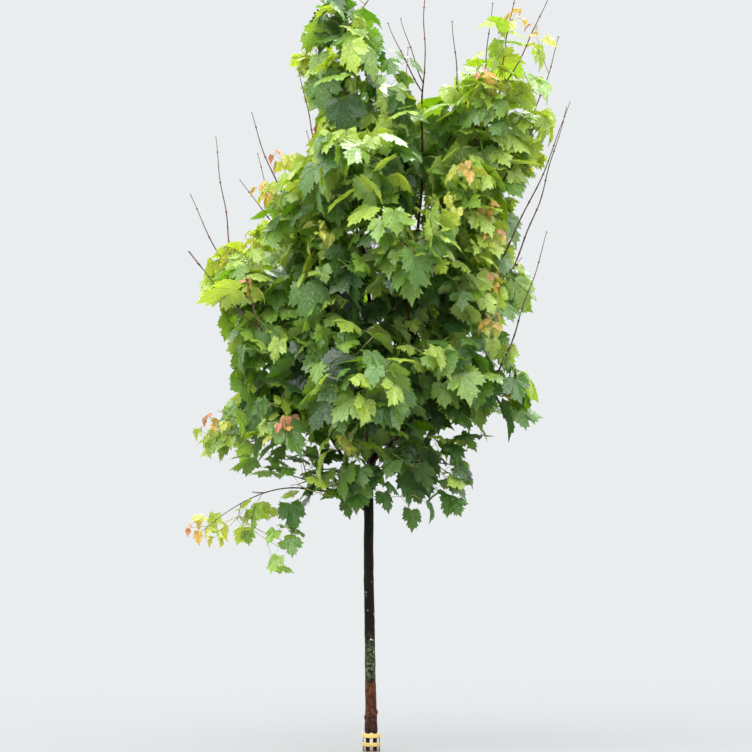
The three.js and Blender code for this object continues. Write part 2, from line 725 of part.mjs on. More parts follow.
const tree = new THREE.Group();
for (const [name, limb] of Object.entries(limbs)) tree.add(meshOf(name, limb.solid, BARK));
for (const mass of masses) tree.add(meshOf(mass.name, growMass(mass), LEAF));
const guard = makeGuard();
tree.add(meshOf("guard_slats", guard.cage, SLAT));
for (const band of guard.bands) tree.add(meshOf(band.name, band.solid, BAND));

export default tree;
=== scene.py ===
"""A young maple tree in full leaf, wet with rain: bark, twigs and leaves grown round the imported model.

Sizes are in millimetres, as in the part's source, and turn into metres when a mesh is made.
The tree stands on z = 0 and is seen along +Y.
"""

import json
import math
from collections import namedtuple

import bpy
import numpy as np
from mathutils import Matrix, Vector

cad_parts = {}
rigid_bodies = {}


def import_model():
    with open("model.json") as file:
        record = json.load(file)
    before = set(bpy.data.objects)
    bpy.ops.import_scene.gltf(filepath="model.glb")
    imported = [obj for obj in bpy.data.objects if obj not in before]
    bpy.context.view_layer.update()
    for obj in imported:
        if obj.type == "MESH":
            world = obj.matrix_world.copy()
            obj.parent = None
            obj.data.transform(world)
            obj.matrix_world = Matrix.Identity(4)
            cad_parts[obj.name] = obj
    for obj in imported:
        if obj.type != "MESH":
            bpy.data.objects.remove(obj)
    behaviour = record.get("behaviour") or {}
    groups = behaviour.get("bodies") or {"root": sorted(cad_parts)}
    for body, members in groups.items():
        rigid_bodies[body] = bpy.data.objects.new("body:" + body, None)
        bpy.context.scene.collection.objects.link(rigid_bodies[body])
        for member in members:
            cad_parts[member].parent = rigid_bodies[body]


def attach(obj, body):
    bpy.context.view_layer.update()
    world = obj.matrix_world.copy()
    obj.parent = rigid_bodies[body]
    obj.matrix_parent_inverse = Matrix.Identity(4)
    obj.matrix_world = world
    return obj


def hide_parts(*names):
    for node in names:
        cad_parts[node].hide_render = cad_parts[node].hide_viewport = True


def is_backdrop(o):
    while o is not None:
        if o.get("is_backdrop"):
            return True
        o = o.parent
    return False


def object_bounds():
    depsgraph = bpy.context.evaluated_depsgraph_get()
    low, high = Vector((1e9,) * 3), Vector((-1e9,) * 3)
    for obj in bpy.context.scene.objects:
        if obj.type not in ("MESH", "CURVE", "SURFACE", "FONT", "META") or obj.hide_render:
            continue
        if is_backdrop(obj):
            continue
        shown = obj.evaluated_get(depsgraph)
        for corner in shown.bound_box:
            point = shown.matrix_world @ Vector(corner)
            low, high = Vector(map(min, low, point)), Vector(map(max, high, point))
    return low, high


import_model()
cad_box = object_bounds()

MM = 0.001
CAD_LOW, CAD_HIGH = (np.array(corner) / MM for corner in cad_box)
BOX_SLACK = 8  # how far a leaf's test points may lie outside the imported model's box
UP = np.array((0.0, 0.0, 1.0))
AWAY = np.array((0.0, 1.0, 0.0))
STEEP = 0.94  # a line that climbs more than this takes its level direction from AWAY
CROWN_AXIS = np.array((60.0, 0.0, 0.0))

# Limbs, as in the part's source

TRUNK_THROUGH = (
    (0, 0, 0),
    (-12, 3, 1180),
    (26, 0, 1490),
    (172, 12, 1829),
    (202, 15, 2300),
    (243, 0, 2729),
    (240, 0, 3052),
)
TRUNK_HEIGHTS = (0, 120, 220, 350, 1180, 1480, 1830, 2300, 3052)
TRUNK_RADII = (31, 31, 27, 25, 22, 18, 10.5, 7.5, 4.8)
FLARE_OUT = 8
FLARE_FADE = 40
FLARE_POWER = 1.3

# name: parent, height on it, tip, radii at foot and tip, bow, point on the way
BOUGHS = {
    "leader_left": ("trunk", 1500, (-72, -35, 2640), (12, 6.6), 0, (-10, -30, 2162)),
    "bough_low_left": ("trunk", 1240, (-185, -70, 1490), (10.5, 7), 0.03, None),
    "bough_low_twig": ("trunk", 1190, (-335, -70, 1262), (6, 5.4), -0.06, None),
    "bough_low_right": ("trunk", 1385, (200, -50, 1600), (9.5, 7), 0.05, None),
    "bough_low_front": ("trunk", 1300, (-20, -190, 1470), (8.5, 6.6), 0.06, None),
    "bough_low_back": ("trunk", 1330, (30, 190, 1500), (8.5, 6.6), 0.06, None),
    "bough_mid_left": ("leader_left", 1640, (-200, -25, 1745), (8, 6.6), 0.04, None),
    "bough_left_back": ("leader_left", 1790, (-130, 150, 1950), (7.5, 6.4), 0.05, None),
    "bough_right_back": ("trunk", 1700, (240, 170, 1850), (8, 6.4), 0.05, None),
    "bough_mid_right": ("trunk", 1840, (340, 10, 1985), (8, 6.6), 0.06, None),
    "bough_mid_front": ("trunk", 1930, (175, -180, 2090), (7.5, 6.4), 0.05, None),
    "bough_high_left": ("leader_left", 1990, (-140, -45, 2120), (7.5, 6.4), 0.05, None),
    "bough_high_right": ("trunk", 2170, (335, -20, 2430), (7.5, 6.4), 0.08, None),
    "bough_high_front": ("leader_left", 2290, (-60, -160, 2440), (7, 6), 0.05, None),
    "bough_high_back": ("trunk", 2380, (180, 160, 2530), (7, 6), 0.05, None),
}

# name: limb, height on it or None for its tip, the stem's tip, reach, whips
MASSES = {
    "leaves_droop_left": ("bough_low_twig", None, (-800, -110, 1060), 130, ()),
    "leaves_low_left": ("bough_low_left", None, (-700, -150, 1580), 270, ()),
    "leaves_left_outer": (
        "bough_mid_left", None, (-670, -60, 2320), 250,
        ((-869, -80, 2386), (-860, -60, 2657), (-745, 60, 2940)),
    ),
    "leaves_left_upper": (
        "bough_high_left", None, (-421, -60, 2660), 230,
        ((-626, -40, 2729), (-569, -70, 3048)),
    ),
    "leaves_left_back": ("bough_left_back", None, (-430, 440, 2430), 260, ((-560, 560, 2900),)),
    "leaves_low_front": ("bough_low_front", None, (-60, -620, 1760), 270, ()),
    "leaves_low_back": ("bough_low_back", None, (70, 630, 1780), 270, ()),
    "leaves_low_right": ("bough_low_right", None, (680, -110, 1760), 260, ((831, -120, 2476),)),
    "leaves_right_mid": (
        "bough_mid_right", None, (700, 30, 2330), 230,
        ((950, 40, 3105), (936, 90, 3086)),
    ),
    "leaves_right_back": ("bough_right_back", None, (500, 480, 2330), 260, ((640, 600, 2860),)),
    "leaves_mid_front": ("bough_mid_front", None, (170, -600, 2450), 260, ()),
    "leaves_high_right": (
        "bough_high_right", None, (640, -60, 3210), 320,
        ((578, -40, 3572), (690, -80, 3640), (862, -70, 3640)),
    ),
    "leaves_right_edge": ("trunk", 2250, (790, 60, 3010), 190, ((895, 40, 3419),)),
    "leaves_centre_right": ("trunk", 2780, (455, 60, 3110), 190, ((386, 10, 3490),)),
    "leaves_high_front": ("bough_high_front", None, (-110, -450, 2850), 230, ()),
    "leaves_high_back": ("bough_high_back", None, (150, 470, 2960), 240, ((180, 560, 3420),)),
    "leaves_left_inner": ("leader_left", 2080, (-210, -290, 2330), 200, ()),
    "leaves_leader_mid": (
        "leader_left", 2500, (-290, -40, 2880), 210,
        ((-347, -20, 3257), (-310, 50, 2968)),
    ),
    "leaves_leader_top": ("leader_left", None, (-126, -20, 3640), 330, ((60, -10, 3700),)),
    "leaves_centre_upper": ("trunk", 2600, (66, -50, 3040), 210, ()),
    "leaves_trunk_top": (
        "trunk", None, (255, 0, 3250), 140,
        ((79, -40, 3476), (140, 20, 3505), (257, 0, 3850)),
    ),
    "leaves_right_upper": ("trunk", 2330, (470, -200, 2640), 220, ()),
    "leaves_right_inner": ("trunk", 2080, (420, -300, 2230), 220, ()),
    "leaves_left_front": ("leader_left", 1830, (-240, -290, 2000), 220, ()),
    "leaves_right_front": ("trunk", 1620, (350, -320, 1880), 230, ()),
    "leaves_right_bottom": ("trunk", 1310, (400, -140, 1370), 200, ()),
    "leaves_left_bottom": ("trunk", 1140, (-400, -210, 1330), 210, ()),
    "leaves_left_middle": (
        "leader_left", 1560, (-520, -200, 1960), 240,
        ((-850, -330, 2371), (-590, -380, 2260)),
    ),
    "leaves_right_side": ("trunk", 1560, (480, 60, 1680), 210, ()),
}
LIFTS = {"leaves_droop_left": 0.5}
SLIM = {"leaves_droop_left": 0.65}
SIZES = {"leaves_droop_left": 0.85, "leaves_right_bottom": 0.85, "leaves_leader_top": 1.08}
SPARSE = {"leaves_leader_top": 76, "leaves_trunk_top": 70, "leaves_droop_left": 90}

# The rule for stems, whips and side twigs, as in the source
GAP = 0.3
STEM_LEVEL = 0.8
STEM_UP = 0.6
STEM_BEND = 0.42
STEM_RADII = (0.98, 0.34)
SIDE_STEM = 6.2
WHIP_SHARES = (0.5, 0.94)
LONE_WHIP = 0.7
WHIP_SAG = 0.22
WHIP_BEND = 0.45
WHIP_RADII = (2.6, 1.5)
WHIP_STOUT = 3.2  # more radius at the foot of a whip a metre long
WHIP_STEM_SHARE = 0.66  # of its foot's radius, at the tip of a stem that carries whips
WHIP_WAVE = 6
WAVE_EVERY = 130
ASIDE_WAVES = 2.1
UP_WAVES = 1.6
NODE_EVERY = 195
NODE_SHARES = (0.2, 0.94)
TWIG_ANGLE = 50
TWIG_ANGLE_SPREAD = 12
TWIG_TWIST = 0.25
TWIG_FOOT = 1.15
TWIG_LOSS = 0.72
TWIG_SPREAD = (0.8, 1.15)
TWIG_LIFT = 0.16
TWIG_TESTS = (0.5, 0.8, 1)
TWIG_TRIES = 4
TWIG_SHORTER = 0.18
SPACE_CLEAR = 5
TWIG_RADII = (2.7, 1.3)
SIZE_LOSS = 0.2  # of the leaves' size, towards the stem's tip
STEM_MARKS = 9  # points that stand for a stem when distances are measured

# The finer growth that the source leaves out
SPUR_EVERY = 90  # along a twig
SPUR_LENGTH = (45, 100)
SPUR_ANGLE = 48
SPUR_TURN = 0.5
SPUR_LIFT = 0.2
SPUR_RADII = (1.7, 1.0)
SPUR_SIZE = 0.92  # of its leaves, against the twig's own
SPUR_LEAFY = 0.5
SPUR_LEAF_EVERY = 200
LOWEST_SHOOT = 1290  # on the trunk
SHOOT_SHARES = (0.22, 0.97)  # the stretch of a bough that carries shoots
SHOOT_EVERY = 85  # along a bough or the upper trunk
SHOOT_TURN = 2.4
SHOOT_OUT = 0.8
SHOOT_ALONG = 0.5
SHOOT_UP = 0.2
SHOOT_LENGTH = (90, 240)
SHOOT_LIFT = 0.15
SHOOT_RADII = (2.2, 1.1)
SHOOT_SIZE = 0.92
SHOOT_LEAFY = 0.6
LEAF_EVERY = 52
LEAFY_SHARE = 0.86
STEM_LEAFY_SHARE = 0.75
STEM_LEAF_EVERY = 85
LEAF_WIDTH = (112, 228)
LEAF_TRIES = 7
STALK_SHARE = (0.5, 0.95)

# Tints of the leaves, from the shaded inside of the crown to the youngest tips. Besides the leaves' own
# tone, the tints paint light and shade: darker tints are painted shade on low and inner leaves, paler ones
# painted light on high and outer leaves
TINTS = ("deep", "dark", "middle", "fresh", "bright", "lemon", "amber", "copper")


def unit(v):
    return v / np.linalg.norm(v, axis=-1, keepdims=True)


def between(low_high, share):
    low, high = low_high
    return low + (high - low) * share


def either_way(limit, share):
    return between((-limit, limit), share)


def swung(first, second, angle):
    """From the first of two directions towards the second, by an angle."""
    return first * math.cos(angle) + second * math.sin(angle)


def full_turn(sides):
    """As many turns as there are sides, evenly all round."""
    return np.arange(sides) * 2 * math.pi / sides


def swing_from(turns, turn):
    """How far turns lie from one turn, the shorter way round."""
    return (turns - turn + math.pi) % (2 * math.pi) - math.pi


def crosswise(node, side):
    """The turn of one of a pair that stands crosswise to the pair before it."""
    return (node % 2) * math.pi / 2 + side * math.pi


def level_part(v):
    return v * (1, 1, 0)


def chance(*keys):
    """A number from 0 up to 1 that depends only on the whole numbers given, the same as in the source.

    The last of them tells one use from another, and has no other meaning.
    """
    h = 0x9E3779B9
    for key in keys:
        h = ((h ^ key) * 0x85EBCA6B) & 0xFFFFFFFF
        h = ((h ^ (h >> 13)) * 0xC2B2AE35) & 0xFFFFFFFF
        h ^= h >> 16
    return h / 2**32


def turned(v, axis, angle):
    """A direction turned about an axis at right angles to it or not."""
    c, s = math.cos(angle), math.sin(angle)
    return v * c + np.cross(axis, v) * s + axis * np.dot(axis, v) * (1 - c)


# Lines


class Line:
    """The middle line of a limb, twig or stalk, read by its share of the way along."""

    def __init__(self, points):
        self.points = points
        self.way = np.concatenate(([0.0], np.cumsum(np.linalg.norm(np.diff(points, axis=0), axis=1))))
        self.length = self.way[-1]

    def at(self, share):
        way = np.asarray(share) * self.length
        return np.stack([np.interp(way, self.way, axis) for axis in self.points.T], axis=-1)

    def along(self, share, step=0.02):
        share = np.asarray(share)
        return unit(self.at(np.minimum(share + step, 1)) - self.at(np.maximum(share - step, 0)))

    def across(self, share):
        """The direction along the line and two across it: a level one and one that rises."""
        along = self.along(share)
        chord = unit(self.at(1) - self.at(0))
        reference = UP if abs(chord[2]) < STEEP else AWAY
        level = unit(np.cross(reference, along))
        return along, level, np.cross(along, level)

    def share_at_height(self, height):
        return float(np.interp(height, self.points[:, 2], self.way)) / self.length


def bend(start, direction, tip, share=0.5, steps=16):
    """A line from start to tip that sets out in a direction."""
    middle = start + direction * share * np.linalg.norm(tip - start)
    t = np.linspace(0, 1, steps + 1)[:, None]
    return Line((1 - t) ** 2 * start + 2 * t * (1 - t) * middle + t**2 * tip)


def wavy(line, luck):
    """A shoot that wanders a little between its ends."""
    shares = np.linspace(0, 1, len(line.points))
    _, level, rise = line.across(shares)
    fade = WHIP_WAVE * np.sin(math.pi * shares)
    waves = line.length / WAVE_EVERY
    aside = fade * np.sin(waves * shares * ASIDE_WAVES + 3 * luck)
    up = fade * np.sin(waves * shares * UP_WAVES + 5 * luck)
    return Line(line.points + aside[:, None] * level + up[:, None] * rise)


def smooth_line(points, steps=40):
    """A line through all the points, rounded at each."""
    points = np.array(points, float)
    ends = (2 * points[:1] - points[1:2], 2 * points[-1:] - points[-2:-1])
    padded = np.concatenate((ends[0], points, ends[1]))
    t = np.linspace(0, 1, steps, endpoint=False)[:, None]
    runs = []
    for a, b, c, d in zip(padded, padded[1:], padded[2:], padded[3:]):
        bow = (2 * a - 5 * b + 4 * c - d) * t**2 + (3 * b - a - 3 * c + d) * t**3
        runs.append(0.5 * (2 * b + (c - a) * t + bow))
    return Line(np.concatenate(runs + [points[-1:]]))


# Meshes


class Sheaf:
    """Many small meshes that become one piece."""

    def __init__(self, meshes=()):
        self.points = []
        self.faces = []
        self.finishes = []
        self.blade = []
        self.count = 0
        for mesh in meshes:
            self.add(*mesh)

    def add(self, points, faces, finish=0, blade=None):
        self.faces.extend([[corner + self.count for corner in face] for face in faces])
        self.finishes.extend([finish] * len(faces) if np.isscalar(finish) else finish)
        self.points.append(points)
        if blade is not None:
            self.blade.append(blade)
        self.count += len(points)

    def piece(self, name, materials, nodes=(), slot="bark"):
        mesh = bpy.data.meshes.new(name)
        mesh.from_pydata((np.concatenate(self.points) * MM).tolist(), [], self.faces)
        for material in materials:
            mesh.materials.append(material)
        mesh.polygons.foreach_set("material_index", np.array(self.finishes, dtype=np.int32))
        mesh.polygons.foreach_set("use_smooth", np.full(len(mesh.polygons), True))
        if self.blade:
            self.lay_blades(mesh, np.concatenate(self.blade))
        mesh.update()
        piece = bpy.data.objects.new(name, mesh)
        bpy.context.scene.collection.objects.link(piece)
        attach(piece, "root")
        if nodes:
            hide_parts(*nodes)

    @staticmethod
    def lay_blades(mesh, blade):
        """Gives leaves their own flat coordinates, and keeps sharp the rim where their two sides meet."""
        corners = np.zeros(len(mesh.loops), dtype=np.int32)
        mesh.loops.foreach_get("vertex_index", corners)
        layer = mesh.uv_layers.new(name="blade")
        layer.data.foreach_set("uv", blade[corners, :2].ravel())
        ends = np.zeros(len(mesh.edges) * 2, dtype=np.int32)
        mesh.edges.foreach_get("vertices", ends)
        on_rim = (blade[:, 2] > 0.5)[ends.reshape(-1, 2)]
        sharp = mesh.attributes.new("sharp_edge", "BOOLEAN", "EDGE")
        sharp.data.foreach_set("value", on_rim.all(axis=1))


def between_rings(rings, count, closed=False):
    """The corners of each face between rings of points: two on one ring, then two on the next."""
    for ring in range(rings if closed else rings - 1):
        here = ring * count
        after = (ring + 1) % rings * count
        for j in range(count):
            k = (j + 1) % count
            yield here + j, here + k, after + k, after + j


def tube(line, shares, radii, sides):
    """Rings of corners across a line, closed at both ends. radii has a row for each ring."""
    shares = np.asarray(shares, float)
    radii = np.broadcast_to(np.asarray(radii, float).reshape(len(shares), -1), (len(shares), sides))
    _, level, rise = line.across(shares)
    turns = full_turn(sides)
    out = np.cos(turns)[None, :, None] * level[:, None] + np.sin(turns)[None, :, None] * rise[:, None]
    rings = line.at(shares)[:, None] + out * radii[:, :, None]
    points = np.concatenate((rings.reshape(-1, 3), line.at(shares[[0, -1]])))
    faces = list(between_rings(len(shares), sides))
    last = (len(shares) - 1) * sides
    foot, tip = len(points) - 2, len(points) - 1
    for side in range(sides):
        after = (side + 1) % sides
        faces.append((foot, after, side))
        faces.append((tip, last + side, last + after))
    return points, faces


# Limbs with the bark's relief

NUBS = (  # height, turn in degrees, how far out, size
    (195, 0, 6.5, 9),
    (171, 182, 4.5, 9),
    (236, 265, 2.5, 7),
    (418, 300, 2.2, 8),
    (560, 160, 2.2, 7),
    (668, 20, 2.6, 8),
    (790, 250, 2.6, 9),
    (905, 95, 2.8, 9),
    (990, 205, 2.4, 7),
    (1065, 330, 3.2, 9),
)
COLLAR_UP = 30
COLLAR_OUT = 0.35
COLLAR_LIFT = 0.4  # of the limb's radius, from the bough's foot up to the collar's middle
COLLAR_TURN = 0.75
RIDGES = (  # waves round the limb, how fast they climb, height
    (3, 0.004, 0.7), (5, 0.011, 0.45), (8, 0.019, 0.32),
    (13, 0.031, 0.26), (21, 0.05, 0.2), (29, 0.02, 0.2),
)
LUMPS = ((1, 0.021, 0.5), (2, 0.037, 0.4), (4, 0.071, 0.3), (7, 0.16, 0.16))
SWAY = 2  # how far a ridge wanders to and fro as it climbs
SWAY_RATE = 0.37
SWAY_STEP = 1.9  # this and the next keep one wave out of step with another
WAVE_STEP = 2.4
RELIEF_RADIUS = 22  # of a trunk on which the ridges have their full height
RELIEF_LIMITS = (0.4, 1.2)
NUB_RADIUS = 25  # of the trunk round which a nub's size is measured
GUARD_TOP = 98
GUARD_CLEAR = 8  # above the guard, where the ridges still keep low
GUARD_SINK = 1.0
GUARD_RIDGE = 0.2

TRUNK_SIDES = 88
FOOT_HEIGHT = 300  # below it the rings of corners stand closer
FOOT_RINGS = 61
UPPER_RINGS = 345
LOWEST_RING = 1

BOUGH_SIDES = 24
BOUGH_RING = 7  # from one ring of corners to the next
FEWEST_RINGS = 12
SWELL = 0.5  # of a bough at its foot
SWELL_FROM = 0.6  # of the parent's radius
SWELL_FADE = 16
SWELL_POWER = 1.4
BOUGH_RELIEF = 0.36
BOUGH_RADIUS = 9
BOUGH_OFFSET = 900  # along the ridges, from one bough to the next
KNUCKLES = (0.38, 0.65, 0.92)  # where a year's growth ended, by the share of the way
KNUCKLE_OUT = 0.09
KNUCKLE_LENGTH = 5


def relief(turns, heights, strength):
    """How far the bark stands out, by the turn round a limb and the way along it."""
    out = np.zeros((len(heights), len(turns)))
    for order, (waves, climb, height) in enumerate(RIDGES + LUMPS):
        sway = SWAY * np.sin(heights * climb * SWAY_RATE + order * SWAY_STEP)
        phase = waves * turns[None] + (heights * climb + sway)[:, None] + order * WAVE_STEP
        out += height * np.sin(phase)
    return out * strength


def trunk_radii(heights, turns):
    base = np.interp(heights, TRUNK_HEIGHTS, TRUNK_RADII)
    base = base + FLARE_OUT * np.exp(-((np.maximum(heights, 0) / FLARE_FADE) ** FLARE_POWER))
    strength = np.clip(base / RELIEF_RADIUS, *RELIEF_LIMITS)[:, None]
    radii = base[:, None] + relief(turns, heights, 1.0) * strength
    for height, turn, out, size in NUBS:
        swing = swing_from(turns, math.radians(turn))
        reach = ((heights - height) / size)[:, None] ** 2 + (swing[None] * NUB_RADIUS / size) ** 2
        radii += out * np.exp(-reach)
    low = heights < GUARD_TOP + GUARD_CLEAR
    radii[low] = np.minimum(radii[low] - GUARD_SINK, base[low, None] + GUARD_RIDGE)
    return radii


class Limb:
    def __init__(self, line, radius, parent=None):
        self.line = line
        self.radius = radius
        self.parent = parent
        self.boughs = []


def grow_limbs():
    trunk = smooth_line(TRUNK_THROUGH)
    limbs = {
        "trunk": Limb(trunk, lambda share: np.interp(trunk.at(share)[..., 2], TRUNK_HEIGHTS, TRUNK_RADII))
    }
    for name, (parent, height, tip, radii, bow, via) in BOUGHS.items():
        root = limbs[parent]
        start = root.line.at(root.line.share_at_height(height))
        tip = np.array(tip, float)
        length = np.linalg.norm(tip - start)
        if via:
            line = smooth_line((start, via, tip))
        else:
            out = unit(level_part(tip - start))
            middle = (start + tip) / 2 + (out - UP) * bow * length
            line = bend(start, unit(middle - start), tip, np.linalg.norm(middle - start) / length)
        limbs[name] = Limb(line, lambda share, radii=radii: between(radii, share), root)
        root.boughs.append((height, line.along(0.05)))
    return limbs


def trunk_mesh(limb):
    turns = full_turn(TRUNK_SIDES)
    low = np.linspace(0, FOOT_HEIGHT, FOOT_RINGS)
    high = np.linspace(FOOT_HEIGHT, TRUNK_HEIGHTS[-1], UPPER_RINGS)[1:]
    heights = np.concatenate((low, high))
    shares = np.array([limb.line.share_at_height(height) for height in heights])
    radii = trunk_radii(heights, turns)
    add_collars(limb, heights, turns, radii)
    points, faces = tube(limb.line, shares, radii, TRUNK_SIDES)
    cut, second = slice(TRUNK_SIDES), slice(TRUNK_SIDES, 2 * TRUNK_SIDES)
    points[cut, 2] = 0
    points[second, 2] = np.maximum(points[second, 2], LOWEST_RING)
    return points, faces


def add_collars(limb, heights, turns, radii):
    """A swelling under and round the foot of each bough."""
    for height, direction in limb.boughs:
        share = limb.line.share_at_height(height)
        _, level, rise = limb.line.across(share)
        swing = swing_from(turns, math.atan2(np.dot(direction, rise), np.dot(direction, level)))
        base = np.interp(height, heights, radii.mean(axis=1))
        up = (heights - height - base * COLLAR_LIFT) / COLLAR_UP
        radii += base * COLLAR_OUT * np.exp(-(up**2)[:, None] - (swing[None] / COLLAR_TURN) ** 2)


def bough_mesh(limb, order):
    length = limb.line.length
    turns = full_turn(BOUGH_SIDES)
    shares = np.linspace(0, 1, max(FEWEST_RINGS, round(length / BOUGH_RING)) + 1)
    way = shares * length
    base = limb.radius(shares) * np.ones_like(shares)
    parent = limb.parent.radius(limb.parent.line.share_at_height(limb.line.points[0][2]))
    outside_parent = np.maximum(way - parent * SWELL_FROM, 0)
    base = base * (1 + SWELL * np.exp(-((outside_parent / SWELL_FADE) ** SWELL_POWER)))
    bark = relief(turns, way + BOUGH_OFFSET * order, BOUGH_RELIEF)
    radii = base[:, None] + bark * (base / BOUGH_RADIUS)[:, None]
    for share in KNUCKLES:
        bulge = np.exp(-(((way - length * share) / KNUCKLE_LENGTH) ** 2))
        radii += KNUCKLE_OUT * base[:, None] * bulge[:, None]
    if limb.boughs:
        add_collars(limb, limb.line.at(shares)[:, 2], turns, radii)
    return tube(limb.line, shares, radii, BOUGH_SIDES)


# Masses: a stem, its whips and its side twigs, by the source's rule


class Mass:
    def __init__(self, name, seed, limbs):
        on, height, tip, self.reach, whips = MASSES[name]
        self.name = name
        self.seed = seed
        self.lift = LIFTS.get(name, 1)
        self.size = SIZES.get(name, 1)
        self.every = SPARSE.get(name, LEAF_EVERY)
        limb = limbs[on]
        tip = np.array(tip, float)
        foot = 1 if height is None else limb.line.share_at_height(height)
        start = limb.line.at(foot)
        away = limb.line.along(foot)
        self.radius = SIDE_STEM
        if height is None:
            start = start + away * GAP
            self.radius = float(limb.radius(1)) * SLIM.get(name, 1)
        else:
            away = unit(unit(level_part(tip - start)) * STEM_LEVEL + UP * STEM_UP)
        self.stem = bend(start, away, tip, STEM_BEND)
        self.marks = self.stem.at(np.linspace(0, 1, STEM_MARKS))
        self.whips = []
        self.whip_feet = []
        for i, point in enumerate(whips):
            order = i / (len(whips) - 1) if len(whips) > 1 else LONE_WHIP
            self.whips.append(self.grow_whip(np.array(point, float), order))
            self.whip_feet.append(between(WHIP_SHARES, order))
        self.twigs = []

    def grow_whip(self, tip, order):
        start = self.stem.at(between(WHIP_SHARES, order))
        out = unit(unit(tip - start) - UP * WHIP_SAG)
        return wavy(bend(start, out, tip, WHIP_BEND, steps=48), self.seed + order)

    def distance(self, point):
        """How far a point is from the stem."""
        feet, runs = self.marks[:-1], np.diff(self.marks, axis=0)
        share = np.clip(((point - feet) * runs).sum(1) / (runs**2).sum(1), 0, 1)
        return np.linalg.norm(feet + runs * share[:, None] - point, axis=1).min()

    def owns(self, points, masses):
        """Whether all the points are nearer to this stem than to any other, with room to spare."""
        for point in points:
            own = self.distance(point) + 2 * SPACE_CLEAR
            if any(other is not self and other.distance(point) <= own for other in masses):
                return False
        return True


Twig = namedtuple("Twig", "line size keys radii leafy every", defaults=(LEAFY_SHARE, LEAF_EVERY))


def branching(line, share, turn, angle):
    """The direction of a shoot that leaves a line at a turn round it and an angle off it."""
    along, level, rise = line.across(share)
    return swung(along, swung(level, rise, turn), math.radians(angle))


def lifted_shoot(start, direction, reach, lift, steps=16):
    """A shoot that sets out in a direction and lifts its tip."""
    return bend(start, direction, start + direction * reach + UP * reach * lift, steps=steps)


def grow_twigs(mass, masses):
    """Pairs of side twigs that stand crosswise by turns along the stem."""
    stem = mass.stem
    nodes = max(2, round(stem.length / NODE_EVERY))
    for node in range(nodes):
        share = between(NODE_SHARES, (node + 0.5) / nodes)
        for side in (0, 1):
            keys = (mass.seed, node, side)
            twist, slant, reach = (chance(*keys, key) for key in (1, 2, 3))
            turn = crosswise(node, side) + either_way(TWIG_TWIST, twist)
            angle = TWIG_ANGLE + either_way(TWIG_ANGLE_SPREAD, slant)
            direction = branching(stem, share, turn, angle)
            full = mass.reach * (TWIG_FOOT - TWIG_LOSS * share) * between(TWIG_SPREAD, reach)
            grow_twig(mass, masses, stem.at(share), direction, full, share, keys)


def grow_twig(mass, masses, start, direction, length, share, keys):
    """A side twig, shorter at each try until it keeps within its own mass."""
    for attempt in range(TWIG_TRIES):
        reach = length * (1 - TWIG_SHORTER * attempt)
        line = lifted_shoot(start, direction, reach, TWIG_LIFT * mass.lift)
        if mass.owns(line.at(TWIG_TESTS), masses):
            size = (1 - SIZE_LOSS * share) * mass.size
            mass.twigs.append(Twig(line, size, keys, TWIG_RADII, LEAFY_SHARE, mass.every))
            grow_spurs(mass, line, size * SPUR_SIZE, keys)
            return


def grow_spurs(mass, line, size, keys):
    """Short side shoots on a twig, which end in a pair of leaves."""
    count = int(line.length / SPUR_EVERY)
    for i in range(count):
        spur_keys = (*keys, 40 + i)
        share = (i + 0.75) / (count + 0.6)
        turn = math.pi * (i % 2) + either_way(SPUR_TURN, chance(*spur_keys, 1))
        direction = branching(line, share, turn, SPUR_ANGLE)
        reach = between(SPUR_LENGTH, chance(*spur_keys, 2))
        spur = lifted_shoot(line.at(share), direction, reach, SPUR_LIFT, 8)
        mass.twigs.append(Twig(spur, size, spur_keys, SPUR_RADII, SPUR_LEAFY, SPUR_LEAF_EVERY))


def grow_limb_twigs(limbs):
    """Short leafy shoots straight on the boughs and the upper trunk."""
    twigs = []
    for order, (name, limb) in enumerate(limbs.items()):
        start, end = SHOOT_SHARES
        if name == "trunk":
            start = limb.line.share_at_height(LOWEST_SHOOT)
        count = int(limb.line.length * (end - start) / SHOOT_EVERY)
        for i in range(count):
            keys = (200 + order, i, 0)
            share = between((start, end), (i + 0.5) / count)
            along, level, rise = limb.line.across(share)
            out = swung(level, rise, i * SHOOT_TURN + chance(*keys, 1))
            direction = unit(out * SHOOT_OUT + along * SHOOT_ALONG + UP * SHOOT_UP)
            reach = between(SHOOT_LENGTH, chance(*keys, 2))
            line = lifted_shoot(limb.line.at(share), direction, reach, SHOOT_LIFT, 10)
            twigs.append(Twig(line, SHOOT_SIZE, keys, SHOOT_RADII, SHOOT_LEAFY))
    return twigs


# Leaves

# Half of a leaf's outline from the notch at its stalk to its tip, as shares of its width
HALF_LEAF = (
    (0.012, -0.018), (0.060, -0.092), (0.150, -0.132), (0.250, -0.152), (0.362, -0.205),
    (0.342, -0.112), (0.432, -0.092), (0.380, 0.022), (0.448, 0.058), (0.420, 0.125),
    (0.500, 0.176), (0.450, 0.250), (0.512, 0.385), (0.406, 0.382), (0.390, 0.474),
    (0.305, 0.432), (0.234, 0.412), (0.246, 0.498), (0.312, 0.618), (0.222, 0.612),
    (0.208, 0.720), (0.114, 0.696),
)
LEAF_TIP = (0.0, 0.90)
VEINS = tuple(math.radians(angle) for angle in (0, 54, 118))
# Rings of a leaf's corners: the share of the way out, and 1 above, 0 on the rim and -1 below
LAYERS = ((0, 1), (0.5, 1), (1, 0), (0, -1), (0.5, -1))
UPPER_LAYERS = (0, 1, 2)
UNDER_LAYERS = (3, 4, 2)
THICK = 0.9
MOST_LEAVES = 600  # in one piece
TEST_CORNERS = (
    (0, 0.1), (0, 0.45), (0, 0.8), (0.3, 0.1), (-0.3, 0.1),
    (0.42, 0.3), (-0.42, 0.3), (0.3, -0.12), (-0.3, -0.12),
)
TEST_SAG = 0.12

